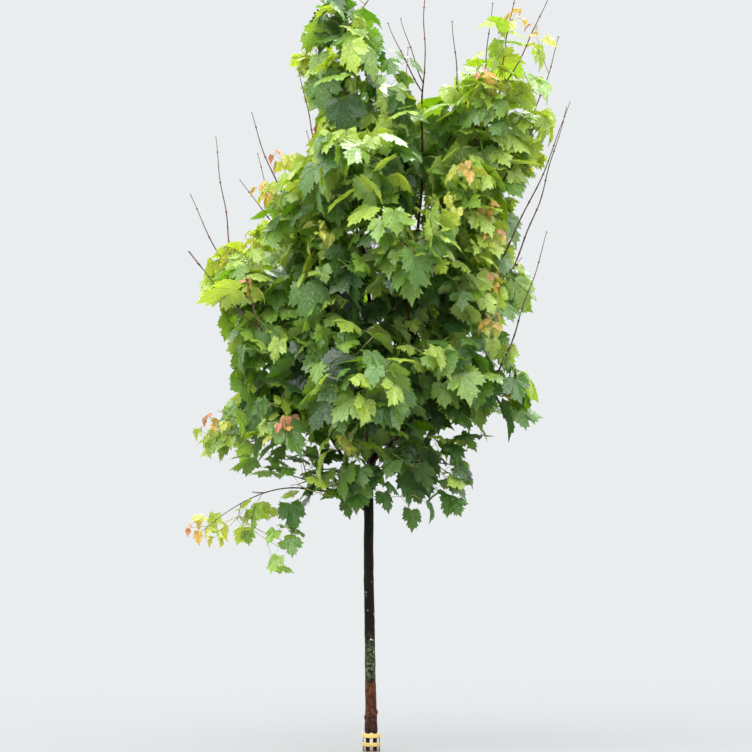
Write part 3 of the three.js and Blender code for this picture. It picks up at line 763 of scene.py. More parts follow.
SKEW = (0.92, 1.06)
STRETCH = (0.92, 1.08)
PLEAT = 0.05
DROOP = (0.06, 0.36)
FOLD = (-0.38, 0.26)
RIPPLE = (0.01, 0.035)
CURL = (0, 0.14)
YOUNG_SLIM = 0.35
YOUNG_FOLD = 0.45
YOUNG_DROOP = 0.5

STALK_SHARES = (0, 0.08, 0.5, 0.96)
STALK_RADII = (1.9, 1.25, 1.1, 1.3)
STALK_SIDES = 5
STALK_BEND = 0.55
STALK_SINK = 0.4  # under the blade at its tip
STALK_OUT = 0.85
STALK_SAG = 0.12
YOUNG_STALK_LOSS = 0.3
OUTWARDS = 0.6
STALK_LEAN = (0.3, 0.7)
STALK_RISE = (0.05, 0.5)
WIDTH_SPREAD = (0.86, 1.12)
LEAF_SWING = 80
LEAF_FALL = (-8, 78)
LEAF_ROLL = 48


def leaf_template():
    """A leaf's flat corners with the way out, the pleat, the side and the rim of each, and its faces."""
    right = np.array(HALF_LEAF)
    outline = np.concatenate((right, [LEAF_TIP], right[::-1] * (-1, 1)))
    count = len(outline)
    angle = np.abs(np.arctan2(outline[:, 0], outline[:, 1]))
    stops = (*VEINS, math.pi)
    pleat = np.zeros(count)
    for low, high in zip(stops, stops[1:]):
        inside = (angle >= low) & (angle <= high)
        pleat[inside] = np.sin(math.pi * (angle[inside] - low) / (high - low))
    flat, shares, pleats, sides, starts = [], [], [], [], []
    for share, side in LAYERS:
        starts.append(sum(map(len, flat)))
        flat.append(outline * share if share else np.zeros((1, 2)))
        pleats.append(pleat if share else np.zeros(1))
        shares.append(np.full(len(flat[-1]), float(share)))
        sides.append(np.full(len(flat[-1]), float(side)))
    upper = [starts[layer] for layer in UPPER_LAYERS]
    under = [starts[layer] for layer in UNDER_LAYERS]
    faces, finishes = [], []
    for j in range(count):
        k = (j + 1) % count
        faces += [(upper[0], upper[1] + k, upper[1] + j), (under[0], under[1] + j, under[1] + k)]
        finishes += [0, 1]
        for a, b, c, d in zip(upper[1:], upper[2:], under[1:], under[2:]):
            faces += [(a + j, a + k, b + k, b + j), (c + j, d + j, d + k, c + k)]
            finishes += [0, 1]
    side = np.concatenate(sides)
    rim = (side == 0).astype(float)
    return np.concatenate(flat), np.concatenate(shares), np.concatenate(pleats), side, rim, faces, finishes


TEMPLATE = leaf_template()


class Leaf:
    def __init__(self, root, joint, stalk, midrib, face, width, keys, young):
        self.root = root
        self.joint = joint
        self.stalk = stalk
        self.midrib = midrib
        self.face = face
        self.side = unit(np.cross(midrib, face))
        self.width = width
        self.keys = keys
        self.young = young

    def tests(self):
        """Points on the blade, which have to find room."""
        x, y = np.array(TEST_CORNERS).T[:, :, None]
        return self.joint + self.width * (self.side * x + self.midrib * y - self.face * TEST_SAG * y)


def leaf_mesh(leaf):
    """A leaf's blade: two sides that meet at the rim, pleated between the veins, drooping and waved."""
    flat, share, pleats, side, rim, faces, finishes = TEMPLATE
    fold, droop, wave, curl, skew, phase = (chance(*leaf.keys, 60 + k) for k in range(6))
    x, y = flat[:, 0].copy(), flat[:, 1].copy()
    x *= np.where(x > 0, between(SKEW, skew), between(SKEW[::-1], skew))
    y *= between(STRETCH, wave)
    far = np.hypot(x, y)
    angle = np.arctan2(x, y)
    lift = PLEAT * pleats * share * (1.3 - share) * 2
    lift -= between(DROOP, droop) * far**2
    lift += between(FOLD, fold) * np.abs(x)
    lift += between(RIPPLE, wave) * share**2 * np.sin(5 * angle + 6.3 * phase)
    lift -= between(CURL, curl) * np.maximum(y, 0) ** 3
    if leaf.young:
        x = x * (1 - YOUNG_SLIM * leaf.young)
        lift += leaf.young * (YOUNG_FOLD * np.abs(x) - YOUNG_DROOP * far**2)
    lift = lift + side * 0.5 * THICK * (1 - share**2) / leaf.width
    shape = x[:, None] * leaf.side + y[:, None] * leaf.midrib + lift[:, None] * leaf.face
    return leaf.joint + leaf.width * shape, faces, finishes, np.column_stack((flat, rim))


def stalk_mesh(leaf):
    line = bend(leaf.root, leaf.stalk, leaf.joint - leaf.face * STALK_SINK, STALK_BEND, steps=8)
    return tube(line, STALK_SHARES, STALK_RADII, STALK_SIDES)


def pose_leaf(root, frame_across, turn, size, keys, young):
    """One leaf from a node: its stalk leaves the twig at a slant, and its blade hangs outwards and down."""
    along, level, rise = frame_across
    length, lean, swing, dip, roll, sink = (chance(*keys, k) for k in range(6))
    width = size * between(WIDTH_SPREAD, length)
    out = swung(level, rise, turn)
    stalk = unit(out * STALK_OUT + along * between(STALK_LEAN, lean) + UP * between(STALK_RISE, sink))
    reach = width * between(STALK_SHARE, chance(*keys, 6)) * (1 - YOUNG_STALK_LOSS * young)
    joint = root + stalk * reach - UP * reach * STALK_SAG
    outwards = unit(level_part(joint - CROWN_AXIS))
    heading = unit(unit(level_part(stalk)) + outwards * OUTWARDS)
    heading = turned(heading, UP, math.radians(either_way(LEAF_SWING, swing)))
    fall = math.radians(between(LEAF_FALL, dip))
    midrib = swung(heading, -UP, fall)
    face = turned(swung(UP, heading, fall), midrib, math.radians(either_way(LEAF_ROLL, roll)))
    return Leaf(root, joint, stalk, midrib, face, width, keys, young)


# The room that leaves have

# How far full-grown leaves reach to the left and right at each height
EDGE = (
    (906, -579, 0), (1049, -636, 40), (1133, -640, 488), (1190, -600, 488), (1225, -440, 488),
    (1245, -330, 488), (1300, -330, 483), (1325, -520, 483), (1348, -645, 483), (1395, -700, 450),
    (1419, -720, 520), (1467, -730, 669), (1538, -730, 783), (1586, -700, 800), (1681, -645, 798),
    (1776, -664, 790), (1824, -664, 717), (1919, -674, 731), (2014, -674, 670), (2086, -760, 715),
    (2157, -800, 788), (2205, -821, 770), (2250, -821, 740), (2338, -807, 679), (2443, -721, 660),
    (2514, -579, 660), (2633, -450, 665), (2681, -436, 683), (2729, -436, 760), (2776, -345, 783),
    (2824, -320, 831), (2919, -283, 869), (3014, -250, 869), (3157, -283, 869), (3229, -340, 850),
    (3252, -340, 840), (3324, -402, 802), (3443, -312, 707), (3586, -255, 620), (3850, -240, 600),
)
# The open notch between the two heads of the crown
NOTCH = (
    (3120, 240, 260), (3148, 174, 326), (3205, 145, 355), (3300, 126, 383), (3395, 79, 469),
    (3490, 2, 520), (3586, -93, 560), (3850, -120, 580),
)
# How low leaves hang, from left to right
UNDERSIDE = (
    (-640, 960), (-560, 930), (-330, 930), (-300, 1180), (-250, 1255), (-150, 1255), (-120, 1080),
    (-10, 1080), (20, 1140), (60, 1225), (110, 1225), (140, 1150), (480, 1130), (510, 1370), (700, 1450),
)

# Stretches of limbs and stems that no leaf hangs in front of: lowest and highest point, half the width
BARE_STRETCHES = (
    ("leaves_leader_top", 2940, 3100, 12),
    ("leaves_leader_top", 2690, 2770, 11),
    ("leader_left", 2320, 2480, 14),
    ("leader_left", 2140, 2210, 14),
    ("trunk", 2420, 2930, 15),
    ("bough_low_left", 1420, 1490, 13),
    ("bough_low_right", 1470, 1600, 13),
    ("leaves_right_front", 1690, 1780, 13),
    ("leaves_left_middle_whip_0", 2010, 2260, 20),
    ("leaves_left_middle_whip_1", 1985, 2200, 24),
)
NOTCH_TESTS = np.array((0.5, 0.75, 1.0))
EDGE_SLACK = (-18, 38)
BARE_SPACING = 14
WOOD_MARKS = 60  # on each limb
WOOD_CLEAR = 6
NEAR = 320
AMPLE_ROOM = 55  # the search for a better pose ends here
OPEN_ROOM = 99  # where no other leaf is near


def bare_points(lines):
    """Points along the bare stretches, with half the width that stays bare at each."""
    spots = []
    for name, low, high, width in BARE_STRETCHES:
        line = lines[name]
        ends = [line.share_at_height(height) for height in (low, high)]
        points = line.at(np.linspace(*ends, max(3, round((high - low) / BARE_SPACING))))
        spots.append(np.insert(points, 3, width, axis=1))
    return np.concatenate(spots)


def limits_at(heights, table):
    """The left and right limits of a table at some heights."""
    return (np.interp(heights, *np.array(table).T[[0, side]]) for side in (1, 2))


def in_notch(points, slack):
    x, z = points[:, 0], points[:, 2]
    left, right = limits_at(z, NOTCH)
    return (z > NOTCH[0][0]) & (x > left + slack) & (x < right - slack)


def outside(points, slack):
    """Whether any point lies beyond the crown's edge or in the notch, by more than a slack."""
    x, z = points[:, 0], points[:, 2]
    left, right = limits_at(z, EDGE)
    low = np.interp(x, *np.array(UNDERSIDE).T)
    beyond = (x < left - slack) | (x > right + slack) | (z < low - slack)
    return bool((beyond | in_notch(points, slack)).any())


class Crown:
    """All leaves so far, with the points that keep new ones off them."""

    def __init__(self, limbs, masses):
        self.leaves = {tint: [] for tint in TINTS}
        self.taken = np.zeros((0, 3))
        lines = {name: limb.line for name, limb in limbs.items()}
        for mass in masses:
            lines[mass.name] = mass.stem
            lines |= {f"{mass.name}_whip_{order}": whip for order, whip in enumerate(mass.whips)}
        self.bare = bare_points(lines)
        shares = np.linspace(0, 1, WOOD_MARKS)
        self.wood = np.concatenate([limb.line.at(shares) for limb in limbs.values()])
        radii = [limb.radius(shares) * np.ones(WOOD_MARKS) for limb in limbs.values()]
        self.wood_radius = np.concatenate(radii)

    def blocked(self, leaf, points):
        """Whether a leaf leaves the crown, hides a bare stretch or touches the wood."""
        if (points < CAD_LOW - BOX_SLACK).any() or (points > CAD_HIGH + BOX_SLACK).any():
            return True
        if not leaf.young and outside(points, between(EDGE_SLACK, chance(*leaf.keys[:-1], 31))):
            return True
        before = points[:, None] - self.bare[None, :, :3]
        beside = np.hypot(before[..., 0], before[..., 2]) < self.bare[:, 3]
        if (beside & (before[..., 1] < 0)).any():
            return True
        gaps = np.linalg.norm(points[:, None] - self.wood[None], axis=2) - self.wood_radius[None]
        return gaps.min() < WOOD_CLEAR

    def room(self, leaf):
        """How far a leaf hangs from the others, or -1 where it can't hang."""
        points = leaf.tests()
        if self.blocked(leaf, points):
            return -1
        near = self.taken[np.abs(self.taken - leaf.joint).max(axis=1) < NEAR]
        if not len(near):
            return OPEN_ROOM
        return np.linalg.norm(points[:, None] - near[None], axis=2).min()

    def place(self, root, frame_across, turn, size, keys, tint_of, young=0.0):
        """Hangs a leaf in the pose with the most room among a few, if any has room."""
        best, most = None, 0
        for attempt in range(LEAF_TRIES):
            leaf = pose_leaf(root, frame_across, turn, size, (*keys, attempt), young)
            room = self.room(leaf)
            if room > most:
                best, most = leaf, room
            if most > AMPLE_ROOM:
                break
        if best is None:
            return 0
        self.leaves[tint_of(best)].append(best)
        self.taken = np.concatenate((self.taken, best.tests()))
        return 1


CROWN_HEIGHTS = (1000, 1500, 2100, 2700, 3200, 3700)
CROWN_RADII = (420, 640, 740, 640, 520, 330)
# Painted light and shade by height: lower leaves are tinted darker as painted shade, higher ones paler as
# painted light
PAINTED_LIGHT_HEIGHTS = (1100, 1900, 2500, 3200, 3700)
PAINTED_LIGHT_BY_HEIGHT = (-0.17, 0.14, 0.3, 0.33, 0.1)
TINT_STEPS = (0.55, 0.775, 0.99, 1.18)
# How much paler a leaf is when it is far out (painted light on the crown's outside), near a tip, in a pale
# spray, pale by itself, and small
OUT_PAINTED_LIGHT = 0.34
MOST_OUT = 1.2
TIP_TINT = 0.14
SPRAY_TINT = 0.26
OWN_TINT = 0.68
SMALL_TINT = 0.35
USUAL_WIDTH = 170

NODE_TURN = 0.35
TIP_SHARE = 0.985
INNER_SHARE = 0.1
TIP_SIZE = 0.84
TIPNESS = (1, 0.3, 0)  # of the outermost pairs, and of all others
LOW_HEIGHTS = (1250, 1700)
LOW_SIZES = (0.82, 1)


def tint_for(spray, tipness):
    """Picks a leaf's tint by where it hangs, its spray, how near a tip it is, its own luck and its size.
    Where it hangs paints light and shade: paler high or far out, darker low.
    """

    def pick(leaf):
        centre = leaf.joint
        # painted light: the farther out and the higher a leaf hangs, the paler its tint
        far = np.linalg.norm((centre - CROWN_AXIS)[:2]) / np.interp(centre[2], CROWN_HEIGHTS, CROWN_RADII)
        high = np.interp(centre[2], PAINTED_LIGHT_HEIGHTS, PAINTED_LIGHT_BY_HEIGHT)
        value = OUT_PAINTED_LIGHT * min(far, MOST_OUT) + high + TIP_TINT * tipness + SPRAY_TINT * spray
        value += OWN_TINT * chance(*leaf.keys, 77)
        value -= SMALL_TINT * (leaf.width / USUAL_WIDTH - 1)
        return TINTS[sum(value > step for step in TINT_STEPS)]

    return pick


def leaf_twig(crown, twig):
    """Pairs of leaves from a twig's tip inwards. Returns how many found room."""
    placed = 0
    length = twig.line.length
    spray = chance(*twig.keys, 90)
    for node in range(max(1, int(length * twig.leafy / twig.every) + 1)):
        share = max(INNER_SHARE, TIP_SHARE - node * twig.every / length)
        root = twig.line.at(share)
        frame_across = twig.line.across(share)
        tint_of = tint_for(spray, TIPNESS[min(node, 2)])
        for side in (0, 1):
            keys = (*twig.keys, node, side)
            turn = crosswise(node, side) + either_way(NODE_TURN, chance(*keys, 9))
            size = between(LEAF_WIDTH, chance(*keys, 7)) * twig.size * (1 if node else TIP_SIZE)
            size *= float(np.interp(root[2], LOW_HEIGHTS, LOW_SIZES))
            placed += crown.place(root, frame_across, turn, size, keys, tint_of)
    return placed


# Tips of the thin young shoots that stand out of the crown, by the tint of their youngest leaves
YOUNG_SHOOTS = {
    "copper": (
        (-455, -150, 2840), (-236, -60, 2967), (-579, -330, 2229), (-850, -110, 1076),
        (-760, -200, 1595), (-421, -430, 1567), (-380, -440, 1590), (588, -270, 2467),
        (574, -290, 2262), (683, -150, 1745), (517, -260, 3214), (779, -70, 3452),
        (610, 420, 2500), (-420, 520, 2620), (40, 650, 1900), (700, 330, 2900),
        (-640, 200, 1800), (-200, 430, 2900),
    ),
    "amber": (
        (-520, -180, 2690), (431, -420, 2776), (550, -260, 2586), (564, -340, 2062),
        (690, -80, 3529),
    ),
    "lemon": (
        (-745, -150, 1029), (-121, -460, 1500), (374, -440, 2620), (231, -430, 2443),
        (600, -220, 3190), (-245, -400, 2490), (-690, -60, 2400),
        (-560, -100, 2470), (-190, -60, 3740), (-330, 60, 3330), (180, 560, 3130),
        (-560, 480, 2200), (330, 560, 2300), (560, 430, 1800),
    ),
    "pale": ((-800, -180, 1530), (-775, -120, 1480), (-560, -150, 1130)),
    "bright": ((-590, -150, 1120),),
    "fresh": ((-440, -190, 990), (636, -130, 3400), (-70, -250, 1440), (95, -70, 3180)),
    "middle": ((-400, -150, 1010), (-30, -230, 1330), (110, -240, 1420), (125, -50, 3270)),
    "dark": ((-90, -190, 1215), (40, -200, 1290), (200, -160, 1230), (345, -120, 1215)),
}
SHOOT_TINTS = {  # from the tip inwards
    "copper": ("copper", "amber", "lemon", "bright"),
    "amber": ("amber", "amber", "lemon", "bright"),
    "lemon": ("lemon", "lemon", "lemon", "bright"),
    "pale": ("bright", "bright", "fresh", "fresh"),
}
SHOOT_NODE = 44
SHOOT_LEAF = (48, 128)
SHOOT_PAIRS = 5
GROWN_NODE = 62
GROWN_LEAF = (105, 145)
GROWN_PAIRS = 2
YOUNG_SHOOT_RADII = (2.4, 1.2)
SHOOT_REACH = 240
FOOT_ON_TWIG = 0.75
FEET_ON_WHIP = (0.3, 0.5, 0.7)
FOOT_BELOW = 60  # how far a shoot's foot should lie below its tip
TOO_HIGH_COST = 1.2
SHOOT_SAG = 0.25
SHOOT_BEND = 0.5
SHOOT_LEAFY_PART = 0.85
PAIR_LIFT = 0.5
PAIR_SPREAD = (0.85, 1.15)
SOFTEST = 0.9
SOFT_LOSS = 0.7
GROWN_SOFT = 0.1


def grow_young_shoots(crown, masses):
    """Shoots from twigs near by, with pairs of leaves that are smallest at the tip."""
    feet = [twig.line.at(FOOT_ON_TWIG) for mass in masses for twig in mass.twigs]
    feet += [whip.at(share) for mass in masses for whip in mass.whips for share in FEET_ON_WHIP]
    feet = np.array(feet)
    shoots = []
    for tint, tips in YOUNG_SHOOTS.items():
        for tip in tips:
            gap = np.linalg.norm(feet - tip, axis=1)
            too_high = np.maximum(feet[:, 2] - tip[2] + FOOT_BELOW, 0)
            foot = feet[int(np.argmin(np.abs(gap - SHOOT_REACH) + TOO_HIGH_COST * too_high))]
            away = unit(unit(tip - foot) - UP * SHOOT_SAG)
            line = bend(foot, away, np.array(tip, float), SHOOT_BEND, steps=14)
            dress_shoot(crown, line, tint, (300 + len(shoots), 0))
            shoots.append(line)
    return shoots


def dress_shoot(crown, line, tint, keys):
    young = tint in SHOOT_TINTS
    grown = (GROWN_NODE, GROWN_LEAF, GROWN_PAIRS)
    every, sizes, most = (SHOOT_NODE, SHOOT_LEAF, SHOOT_PAIRS) if young else grown
    for node in range(max(2, min(most, int(line.length * SHOOT_LEAFY_PART / every)))):
        share = max(1 - node * every / line.length, INNER_SHARE)
        along, level, rise = line.across(share)
        lifted = (unit(along + UP * PAIR_LIFT), level, rise)
        age = node / SHOOT_PAIRS
        shade = SHOOT_TINTS[tint][min(node, 3)] if young else tint
        soft = SOFTEST - SOFT_LOSS * age if young else GROWN_SOFT
        for side in (0, 1):
            leaf_keys = (*keys, node, side)
            size = between(sizes, age) * between(PAIR_SPREAD, chance(*leaf_keys, 7))
            turn = crosswise(node, side) + chance(*leaf_keys, 8)
            crown.place(line.at(share), lifted, turn, size, leaf_keys, lambda leaf: shade, soft)


# Growing everything

limbs = grow_limbs()
masses = [Mass(name, seed, limbs) for seed, name in enumerate(MASSES)]
for mass in masses:
    grow_twigs(mass, masses)

crown = Crown(limbs, masses)
limb_twigs = grow_limb_twigs(limbs)
for mass in masses:
    stem_keys = (mass.seed, 99)
    leaf_twig(crown, Twig(mass.stem, mass.size, stem_keys, None, STEM_LEAFY_SHARE, STEM_LEAF_EVERY))
    inside = [twig for twig in mass.twigs if not in_notch(twig.line.at(NOTCH_TESTS), 0).any()]
    mass.twigs = [twig for twig in inside if leaf_twig(crown, twig)]
limb_twigs = [twig for twig in limb_twigs if leaf_twig(crown, twig)]
young_shoots = grow_young_shoots(crown, masses)


# Finishes


def sums(operation):
    """A method of a value that works out one Math node."""
    return lambda self, *others: self.sum(operation, *others)


class Value:
    """A socket of a material, and the sums that are written with it."""

    def __init__(self, finish, socket):
        self.finish = finish
        self.socket = socket

    def sum(self, operation, *others):
        sockets = dict(enumerate((self, *others)))
        return self.finish.node("ShaderNodeMath", {"operation": operation}, sockets)["Value"]

    def __rsub__(self, other):
        return self.finish.node("ShaderNodeMath", {"operation": "SUBTRACT"}, {0: other, 1: self})["Value"]

    __add__ = __radd__ = sums("ADD")
    __sub__ = sums("SUBTRACT")
    __mul__ = __rmul__ = sums("MULTIPLY")
    __pow__ = sums("POWER")
    __abs__ = sums("ABSOLUTE")
    least = sums("MINIMUM")
    most = sums("MAXIMUM")
    wave = sums("SINE")


class Made:
    """A node whose outputs are read by name, or the first where none has the name."""

    def __init__(self, finish, node):
        self.finish = finish
        self.made = node

    def __getitem__(self, name):
        found = [s for s in self.made.outputs if s.enabled and s.name == name] or list(self.made.outputs)
        return Value(self.finish, found[0])


class Finish:
    """A material's or the sky's nodes, and the one way in which they are made."""

    def __init__(self, owner):
        self.owner = owner
        owner.use_nodes = True
        self.tree = owner.node_tree
        self.tree.nodes.clear()

    def node(self, kind, settings=None, sockets=None):
        node = self.tree.nodes.new(kind)
        for key, value in (settings or {}).items():
            setattr(node, key, value)
        for key, value in (sockets or {}).items():
            shown = [s for s in node.inputs if s.enabled]
            socket = node.inputs[key] if isinstance(key, int) else next(s for s in shown if s.name == key)
            if isinstance(value, Value):
                self.tree.links.new(value.socket, socket)
            else:
                socket.default_value = value
        return Made(self, node)

    def mix(self, share, low, high):
        sockets = {"Factor": share, "A": colour4(low), "B": colour4(high)}
        return self.node("ShaderNodeMix", {"data_type": "RGBA"}, sockets)["Result"]

    def split(self, vector):
        parts = self.node("ShaderNodeSeparateXYZ", None, {0: vector})
        return parts["X"], parts["Y"], parts["Z"]

    def place(self):
        return self.node("ShaderNodeTexCoord")["Object"]

    def scaled(self, vector, scale):
        sockets = {0: vector, 1: scale}
        return self.node("ShaderNodeVectorMath", {"operation": "MULTIPLY"}, sockets)["Vector"]

    def noise(self, vector, scale, detail=2, roughness=0.5):
        sockets = {"Vector": vector, "Scale": scale, "Detail": detail, "Roughness": roughness}
        return self.node("ShaderNodeTexNoise", None, sockets)["Fac"]

    def cells(self, vector, scale):
        return self.node("ShaderNodeTexVoronoi", None, {"Vector": vector, "Scale": scale})["Distance"]

    def dots(self, vector, scale, low, high):
        """1 in the middle of each cell and 0 between them."""
        return 1 - self.band(self.cells(vector, scale), low, high)

    def band(self, value, low, high, ends=(0, 1), way="SMOOTHSTEP"):
        """The first of the ends up to low, the second from high on, and a slope between."""
        sockets = {"Value": value, "From Min": low, "From Max": high, "To Min": ends[0], "To Max": ends[1]}
        return self.node("ShaderNodeMapRange", {"interpolation_type": way}, sockets)["Result"]

    def bump(self, height, strength, distance):
        sockets = {"Height": height, "Strength": strength, "Distance": distance}
        return self.node("ShaderNodeBump", None, sockets)["Normal"]

    def shader(self, **sockets):
        named = {name.replace("_", " "): value for name, value in sockets.items()}
        return self.node("ShaderNodeBsdfPrincipled", None, named)["BSDF"]

    def done(self, shader):
        self.node("ShaderNodeOutputMaterial", None, {"Surface": shader})
        return self.owner


def new_finish(name):
    return Finish(bpy.data.materials.new(name))


def colour4(colour):
    return colour if isinstance(colour, Value) else (*colour, 1)


def vein_height(finish):
    """Main and side veins in a leaf's own flat coordinates: a mask of each and a quilted height."""
    across, along, _ = finish.split(finish.node("ShaderNodeUVMap", {"uv_map": "blade"})["UV"])
    across = abs(across)
    main, quilt = None, None
    for angle in VEINS:
        c, s = math.cos(angle), math.sin(angle)
        off = across * c - along * s
        on = across * s + along * c
        aside = abs(off)
        line = aside + (1 - finish.band(on, 0.0, 0.04)) * 0.3
        main = line if main is None else main.least(line)
        ribs = (aside * 0.8 - on) * 62
        ribs = ribs.wave() + finish.band(aside, 0.13, 0.2) * -3
        quilt = ribs if quilt is None else quilt.most(ribs)
    vein = 1 - finish.band(main, 0.004, 0.014)
    side = finish.band(quilt, 0.86, 0.98)
    return vein, side, quilt


def leaf_finish(name, colour, glow, pale, share, rough, coat):
    """One side of a leaf: wet gloss over a body that lets light through."""
    finish = new_finish(name)
    vein, side, quilt = vein_height(finish)
    place = finish.place()
    patch = finish.noise(place, 9, 2)
    pucker = finish.cells(place, 75)
    # Partly painted shade: the colour darkens towards the creases between the puckers, which the bump also
    # sinks; the noise patches are the leaf's own uneven tone
    mottle = finish.band(patch * 0.7 + pucker * 0.45, 0.3, 0.75)
    body = finish.mix(mottle, [c * 1.16 for c in colour], [c * 0.74 for c in colour])
    body = finish.mix((vein * 0.55 + side * 0.16).least(0.6), body, pale)
    wet = finish.noise(place, 46, 3)
    height = quilt * 0.08 - vein * 0.5 - side * 0.12 + wet * 0.6 - pucker * 0.8
    normal = finish.bump(height, 0.9, 0.0044)
    surface = finish.shader(
        Base_Color=body,
        Roughness=finish.band(wet, 0.3, 0.7) * 0.2 + rough,
        Normal=normal,
        Specular_IOR_Level=0.55,
        Coat_Weight=coat,
        Coat_Roughness=0.27,
    )
    glowing = {"Color": (*glow, 1), "Normal": normal}
    through = finish.node("ShaderNodeBsdfTranslucent", None, glowing)["BSDF"]
    both = finish.node("ShaderNodeMixShader", None, {0: share, 1: surface, 2: through})["Shader"]
    return finish.done(both)


LEAF_COLOURS = {  # upper side, light let through, under side, veins
    "deep": ((0.028, 0.06, 0.022), (0.26, 0.48, 0.05), (0.09, 0.14, 0.055), (0.14, 0.2, 0.08)),
    "dark": ((0.054, 0.12, 0.036), (0.4, 0.66, 0.05), (0.15, 0.22, 0.09), (0.2, 0.3, 0.12)),
    "middle": ((0.122, 0.238, 0.056), (0.58, 0.82, 0.08), (0.23, 0.33, 0.12), (0.33, 0.47, 0.19)),
    "fresh": ((0.24, 0.39, 0.072), (0.74, 0.93, 0.1), (0.34, 0.45, 0.16), (0.48, 0.61, 0.26)),
    "bright": ((0.4, 0.55, 0.095), (0.87, 0.97, 0.13), (0.48, 0.58, 0.21), (0.64, 0.74, 0.35)),
    "lemon": ((0.58, 0.61, 0.1), (0.94, 0.95, 0.2), (0.65, 0.66, 0.19), (0.79, 0.78, 0.32)),
    "amber": ((0.8, 0.5, 0.12), (0.96, 0.8, 0.26), (0.8, 0.56, 0.2), (0.88, 0.66, 0.34)),
    "copper": ((0.74, 0.32, 0.17), (0.96, 0.62, 0.34), (0.76, 0.44, 0.28), (0.84, 0.56, 0.36)),
}


def bark_finish(name, young):
    """Wet bark: nearly black higher up, a band of lichen, then red-brown, and dark again by the ground."""
    finish = new_finish(name)
    place = finish.place()
    _, _, height = finish.split(place)
    fine = finish.noise(place, 62, 4, 0.6)
    grain = finish.noise(finish.scaled(place, (1, 1, 0.13)), 210, 3, 0.6)
    fissure = 1 - finish.band(abs(grain - 0.5), 0.0, 0.045)
    lenticel = finish.dots(finish.scaled(place, (1, 1, 3)), 58, 0.1, 0.2)
    mottle = finish.band(fine * 0.6 + grain * 0.4, 0.36, 0.62)
    if young:
        colour = finish.mix(mottle, (0.022, 0.012, 0.009), (0.12, 0.058, 0.042))
    else:
        colour = zoned_bark(finish, place, height, mottle)
    # Darker in the fissures: partly the bark's own dark cracks, partly painted shade in them, where the
    # bump sinks
    colour = finish.mix(fissure * 0.55, colour, (0.002, 0.002, 0.002))
    colour = finish.mix(lenticel * 0.3, colour, (0.16, 0.11, 0.08))
    rough_height = grain * 0.8 + fine * 0.5 - fissure * 0.7 + lenticel * 0.6
    surface = finish.shader(
        Base_Color=colour,
        Roughness=finish.band(fine, 0.3, 0.75) * 0.3 + 0.36,
        Normal=finish.bump(rough_height, 0.9, 0.0028),
        Specular_IOR_Level=0.09,
        Coat_Weight=0.05,
        Coat_Roughness=0.12,
    )
    return finish.done(surface)


def zoned_bark(finish, place, height, mottle):
    """The trunk's colour by height, with lichen, pale scars and pale spots painted for the glint of water
    drops.
    """
    wander = height + (finish.noise(place, 16, 3) - 0.5) * 0.09
    upper = finish.mix(mottle, (0.002, 0.002, 0.001), (0.014, 0.011, 0.005))
    youngest = finish.mix(mottle, (0.026, 0.013, 0.009), (0.15, 0.07, 0.05))
    upper = finish.mix(finish.band(height, 1.95, 2.5), upper, youngest)
    brown = finish.mix(mottle, (0.035, 0.011, 0.005), (0.15, 0.05, 0.02))
    foot = finish.mix(mottle, (0.004, 0.002, 0.001), (0.068, 0.024, 0.014))
    flakes = finish.band(finish.cells(place, 210), 0.2, 0.5)
    lichen = finish.mix(flakes, (0.28, 0.31, 0.16), (0.075, 0.085, 0.036))
    colour = finish.mix(finish.band(wander, 0.15, 0.19), foot, brown)
    colour = finish.mix(finish.band(wander, 0.335, 0.352), colour, upper)
    spots = finish.band(finish.noise(place, 75, 3, 0.7), 0.44, 0.56)
    belt = finish.band(wander, 0.34, 0.37) * (1 - finish.band(wander, 0.46, 0.6))
    colour = finish.mix(spots * belt, colour, lichen)
    scars = finish.dots(finish.scaled(place, (1, 1, 2.2)), 42, 0.1, 0.17)
    low = (1 - finish.band(height, 0.19, 0.24)) * scars
    colour = finish.mix(low * 0.6, colour, (0.36, 0.2, 0.17))
    # Painted highlights: pale spots that stand for light glinting on drops of water, in a belt of the trunk
    drop_glints = finish.dots(place, 34, 0.13, 0.17)
    glint_belt = finish.band(height, 0.42, 0.5) * (1 - finish.band(height, 0.7, 0.85))
    return finish.mix(drop_glints * glint_belt, colour, (0.7, 0.7, 0.66))


def shoot_finish(name, dark, light, rough=0.32):
    """A smooth young shoot or stalk, mottled from dark to light."""
    finish = new_finish(name)
    place = finish.place()
    patch = finish.noise(finish.scaled(place, (1, 1, 0.4)), 24, 3)
    fine = finish.noise(place, 240, 2)
    surface = finish.shader(
        Base_Color=finish.mix(finish.band(patch, 0.3, 0.7), dark, light),
        Roughness=finish.band(fine, 0.3, 0.7) * 0.2 + rough,
        Normal=finish.bump(fine + patch, 0.3, 0.0006),
        Coat_Weight=0.25,
        Coat_Roughness=0.16,
    )
    return finish.done(surface)


def plastic_finish(name, colour, grime, rough):
    """Moulded plastic with grime near the ground and fine scuffs."""
    finish = new_finish(name)
    place = finish.place()
    _, _, height = finish.split(place)
    patch = finish.noise(place, 60, 4, 0.6)
    dirt = (1 - finish.band(height + patch * 0.05, 0.02, 0.1)) * 0.75 + finish.band(patch, 0.55, 0.75) * 0.3
    scuffs = finish.noise(finish.scaled(place, (1, 1, 4)), 300, 3)
    surface = finish.shader(
        Base_Color=finish.mix(dirt.least(1), colour, grime),
        Roughness=finish.band(scuffs, 0.3, 0.7) * 0.25 + rough,
        Normal=finish.bump(scuffs + patch, 0.4, 0.0006),
        Specular_IOR_Level=0.5,
    )
    return finish.done(surface)


# Pieces of the tree

